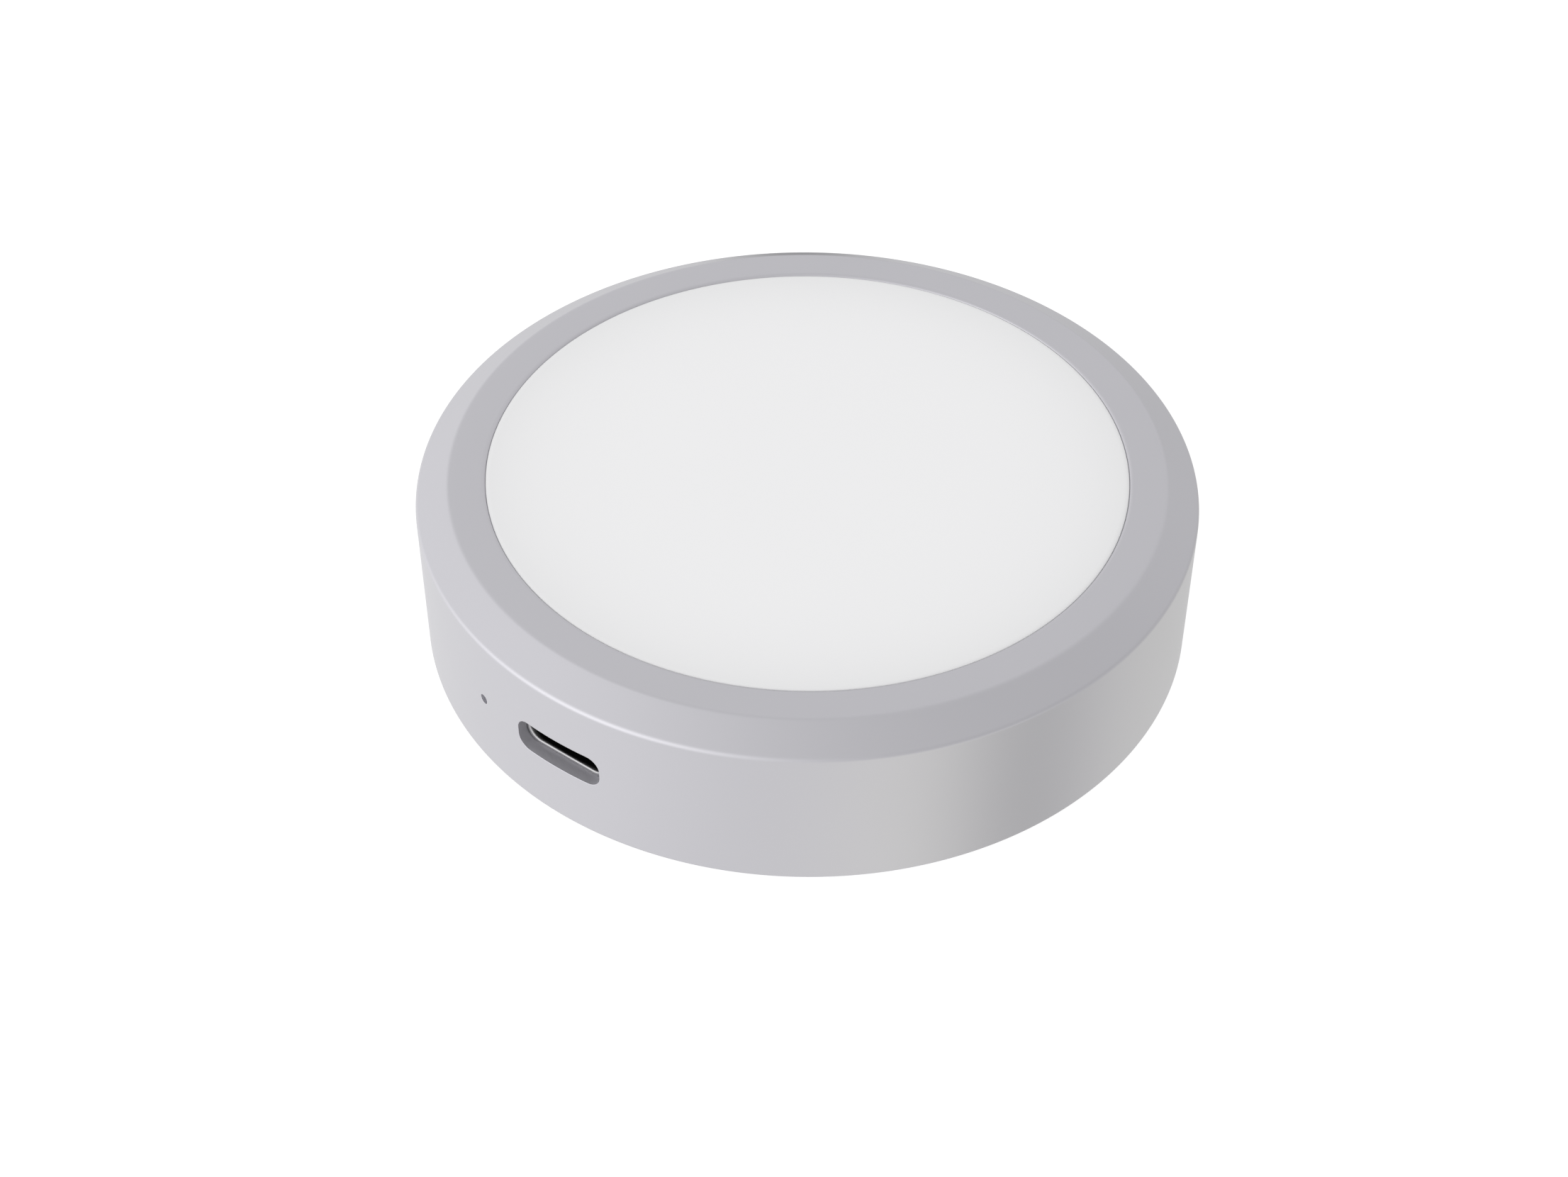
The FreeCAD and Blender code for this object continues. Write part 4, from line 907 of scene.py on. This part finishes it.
def make_usb_c(name, direction):
    """A USB-C receptacle: pressed shell with solder tabs, black tongue block, gold strips."""
    bm = bmesh.new()
    loft(bm, shell_sections(USB_C))
    half_width, half_length, thickness = 0.85, 0.55, 0.3
    low = -USB_C.height / 2
    high = low + thickness
    for side in (-1, 1):
        x = side * (USB_C.width / 2 - 0.2)
        for y in (3.0, 6.2):
            near, far = (x - half_width, y - half_length), (x + half_width, y + half_length)
            add_box(bm, (*near, low), (*far, high), 0.05)
    finish_port_piece(
        f"{name}_receptacle_shell", bm, "plated_steel", direction, USB_C.face, f"{name}_shell"
    )

    back = USB_C.back
    bm = bmesh.new()
    tongue = [
        (0.90, 6.25, 0.34, 0.15, 0),
        (1.00, 6.50, 0.56, 0.25, 0),
        (1.14, 6.65, 0.68, 0.30, 0),
        (1.40, 6.69, 0.70, 0.30, 0),
        (4.55, 6.69, 0.70, 0.30, 0),
        (4.62, 7.35, 1.06, 0.40, 0),
        (4.80, 7.40, 1.10, 0.40, 0),
        (back, 7.40, 1.10, 0.40, 0),
        (back + 0.02, 8.28, 2.50, 1.20, 0),
        (USB_C.depth - 0.1, 8.28, 2.50, 1.20, 0),
    ]
    loft(bm, tongue)
    finish_port_piece(
        f"{name}_tongue_block", bm, "port_plastic", direction, USB_C.face, f"{name}_tongue"
    )

    bm = bmesh.new()
    count, pitch, half_width, root = 12, 0.5, 0.13, 4.55
    for side in (-1, 1):
        low, high = sorted((side * 0.34, side * 0.39))
        for i in range(count):
            x = (i - (count - 1) / 2) * pitch
            length = 3.1 if i in (0, 3, 8, 11) else 2.8
            add_box(bm, (x - half_width, root - length, low), (x + half_width, root, high), 0.02)
    finish_port_piece(
        f"{name}_contact_strips", bm, "gold_contacts", direction, USB_C.face, f"{name}_contacts"
    )


def make_usb_a(name, direction):
    """A USB-A receptacle: pressed shell with spring leaves, black tongue block, gold contacts."""
    bm = bmesh.new()
    loft(bm, shell_sections(USB_A))
    for x in (-3.0, 3.0):
        for side in (-1, 1):
            add_spring(bm, x, side * USB_A.mouth[1] / 2, side)
    finish_port_piece(
        f"{name}_receptacle_shell", bm, "plated_steel", direction, USB_A.face, f"{name}_shell"
    )

    back = USB_A.back
    bm = bmesh.new()
    blade_z = 0.92
    tongue = [
        (1.25, 10.3, 1.10, 0.20, blade_z),
        (1.45, 10.9, 1.66, 0.25, blade_z),
        (1.70, 11.1, 1.84, 0.25, blade_z),
        (back - 0.05, 11.1, 1.84, 0.25, blade_z),
        (back, 12.4, 5.04, 0.28, 0),
        (USB_A.depth - 0.05, 12.4, 5.04, 0.28, 0),
    ]
    loft(bm, tongue)
    finish_port_piece(
        f"{name}_tongue_block", bm, "port_plastic", direction, USB_A.face, f"{name}_tongue"
    )

    bm = bmesh.new()
    count, pitch, half_width = 4, 2.3, 0.55
    near, far, low, high = 2.0, 9.0, -0.09, 0.01
    for i in range(count):
        x = (i - (count - 1) / 2) * pitch
        add_box(bm, (x - half_width, near, low), (x + half_width, far, high), 0.03)
    finish_port_piece(
        f"{name}_contact_strips", bm, "gold_contacts", direction, USB_A.face, f"{name}_contacts"
    )


def add_spring(bm, x, wall_z, side):
    """A pressed leaf that bows from the shell's wall into the mouth."""
    half, start, length, rise, thickness = 0.9, 2.6, 5.0, 0.45, 0.15
    steps = 10
    upper, lower = [], []
    for k in range(steps + 1):
        share = k / steps
        y = start + length * share
        bow = wall_z - side * rise * sin(pi * share) ** 2
        upper.append([bm.verts.new((x - half, y, bow)), bm.verts.new((x + half, y, bow))])
        under = bow + side * thickness
        lower.append([bm.verts.new((x - half, y, under)), bm.verts.new((x + half, y, under))])
    for k in range(steps):
        a, b, c, d = upper[k], upper[k + 1], lower[k], lower[k + 1]
        bm.faces.new((a[0], a[1], b[1], b[0]))
        bm.faces.new((c[0], d[0], d[1], c[1]))
        bm.faces.new((a[0], b[0], d[0], c[0]))
        bm.faces.new((a[1], c[1], d[1], b[1]))
    for a, c in ((upper[0], lower[0]), (upper[-1], lower[-1])):
        bm.faces.new((a[0], c[0], c[1], a[1]))


# --- build ----------------------------------------------------------------------------


def dress_cad_nodes():
    """Gives every carried-over CAD node the material of its record slot."""
    slots = {row["node"]: row["material_slot"] for row in frame["record"]["subparts"]}
    for name, obj in frame["nodes"].items():
        obj.data.materials.clear()
        obj.data.materials.append(MATERIALS[slots[name]])
        for face in obj.data.polygons:
            face.use_smooth = True
        obj.data.set_sharp_from_angle(angle=CAD_SHARP_ANGLE)


def make_floor():
    """A wide white floor that glows by itself, so that the hub's shadow on it is only a hint."""
    reach_in_metres, grey, glow = 10.0, 0.25, 0.86
    bm = bmesh.new()
    bmesh.ops.create_grid(bm, x_segments=1, y_segments=1, size=reach_in_metres)
    mesh = bpy.data.meshes.new("floor")
    bm.to_mesh(mesh)
    bm.free()
    made = Shader("floor_paint", (grey, grey, grey), 0.9)
    made.set("Emission Color", (1.0, 1.0, 1.0, 1.0))
    made.set("Emission Strength", glow)
    made.set("Specular IOR Level", 0.0)
    mesh.materials.append(made.material)
    floor = bpy.data.objects.new("floor", mesh)
    bpy.context.scene.collection.objects.link(floor)
    floor.visible_glossy = False
    floor.visible_diffuse = False
    floor.visible_shadow = False


def direction_to(azimuth, elevation):
    """The unit vector towards an azimuth, counted from the front (-Y) to the right (+X)."""
    a, e = radians(azimuth), radians(elevation)
    return Vector((sin(a) * cos(e), -cos(a) * cos(e), sin(e)))


def make_camera():
    """The camera stands to the right of the front port and looks down at 42.5 degrees."""
    azimuth, elevation, roll = 37.12, 42.486, radians(0.129)
    distance, aside, down = 250.15, -2.15, -11.60
    back = direction_to(azimuth, elevation)
    right = direction_to(azimuth + 90.0, 0.0)
    up = back.cross(right)
    target = Vector((0, 0, TOP_Z))
    data = bpy.data.cameras.new("camera")
    data.sensor_width = 36.0
    data.lens = 61.64
    data.clip_start, data.clip_end = 0.01, 10.0
    camera = bpy.data.objects.new("camera", data)
    camera.location = (target + back * distance + right * aside + up * down) * MM
    axes = Matrix((right, up, back)).transposed().to_4x4()
    camera.rotation_mode = "QUATERNION"
    camera.rotation_quaternion = (axes @ Matrix.Rotation(roll, 4, "Z")).to_quaternion()
    bpy.context.scene.collection.objects.link(camera)
    bpy.context.scene.camera = camera


def panel(azimuth, elevation, sharpness, brightness):
    """The settings of one panel or flag."""
    return SimpleNamespace(
        azimuth=azimuth, elevation=elevation, sharpness=sharpness, brightness=brightness
    )


# Soft light all round, as a white tent gives: an even light, with broad panels and dark flags
# outside the cloth. Each has the azimuth and elevation of its middle, the sharpness of its edge
# and its brightness, which is less than 0 for a flag. The warm glows add red and green light
# only, and the card is a tall, narrow flag behind. Flags leave at least LEAST_LIGHT, and the
# camera itself sees all of it as SEEN_WHITE, which is plain white.
SEEN_WHITE = 1.6
EVEN_LIGHT = 0.7
LEAST_LIGHT = 0.05
PANELS = {
    "front panel": panel(-20, 8, 3, 1.0),
    "left panel": panel(-100, 0, 2.5, 0.37),
    "back panel": panel(185, 30, 4, 0.17),
    "overhead panel": panel(60, 75, 5, 0.05),
    "glow of the floor, right": panel(75, -50, 5, 0.32),
    "glow of the floor, far right": panel(155, -45, 6, 0.1),
    "glow of the floor, left": panel(-80, -45, 4, 0.1),
    "flag behind": panel(205, -15, 4, -0.13),
    "flag low on the right": panel(105, -50, 24, -0.35),
}
WARM_GLOWS = {
    "right": panel(70, -45, 14, 0.05),
    "far right": panel(155, -45, 8, 0.04),
}
CARD = SimpleNamespace(azimuth=217, elevation=-20, sharpness=8, narrowness=700, brightness=-0.65)


def make_light():
    """The light of the surroundings, worked out from the direction; the camera sees it white."""
    world = bpy.data.worlds.new("studio")
    bpy.context.scene.world = world
    world.use_nodes = True
    tree = world.node_tree
    looking = tree.nodes.new("ShaderNodeTexCoord").outputs["Generated"]

    def math(operation, *values):
        return add_math(tree, operation, *values)

    def towards(azimuth, elevation):
        """How far a direction points to an azimuth and elevation, from -1 to 1."""
        node = tree.nodes.new("ShaderNodeVectorMath")
        node.operation = "DOT_PRODUCT"
        tree.links.new(looking, node.inputs[0])
        node.inputs[1].default_value = direction_to(azimuth, elevation)
        return node.outputs["Value"]

    def fall(light):
        """How much of a panel a direction sees: 1 at its middle, less and less away from it."""
        off_centre = math("SUBTRACT", towards(light.azimuth, light.elevation), 1.0)
        return math("EXPONENT", math("MULTIPLY", off_centre, light.sharpness))

    total = EVEN_LIGHT
    for light in PANELS.values():
        total = math("MULTIPLY_ADD", fall(light), light.brightness, total)
    sideways = towards(CARD.azimuth + 90.0, 0.0)
    squared = math("MULTIPLY", sideways, sideways)
    across = math("EXPONENT", math("MULTIPLY", squared, -CARD.narrowness))
    card = math("MULTIPLY", across, fall(CARD))
    total = math("MULTIPLY_ADD", card, CARD.brightness, total)
    total = math("MAXIMUM", total, LEAST_LIGHT)
    warm = 0.0
    for light in WARM_GLOWS.values():
        warm = math("MULTIPLY_ADD", fall(light), light.brightness, warm)
    background = tree.nodes["Background"]
    color = add_tint(tree, warm, (1.0, 1.0, 1.0), (1.0, 1.0, 0.0))
    tree.links.new(color, background.inputs["Color"])
    seen = tree.nodes.new("ShaderNodeLightPath").outputs["Is Camera Ray"]
    strength = math("MAXIMUM", math("ADD", total, warm), math("MULTIPLY", seen, SEEN_WHITE))
    tree.links.new(strength, background.inputs["Strength"])


dress_cad_nodes()
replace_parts(make_housing(), "housing")
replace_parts(make_top_disc(), "top_disc")
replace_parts(make_bottom_cover(), "bottom_cover")
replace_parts(make_foot_ring(), "foot_ring")
for port_name, port_kind, port_direction in PORTS:
    if port_kind is USB_C:
        make_usb_c(port_name, port_direction)
    else:
        make_usb_a(port_name, port_direction)
make_floor()
make_light()
make_camera()
scene = bpy.context.scene
scene.view_settings.view_transform = "Standard"
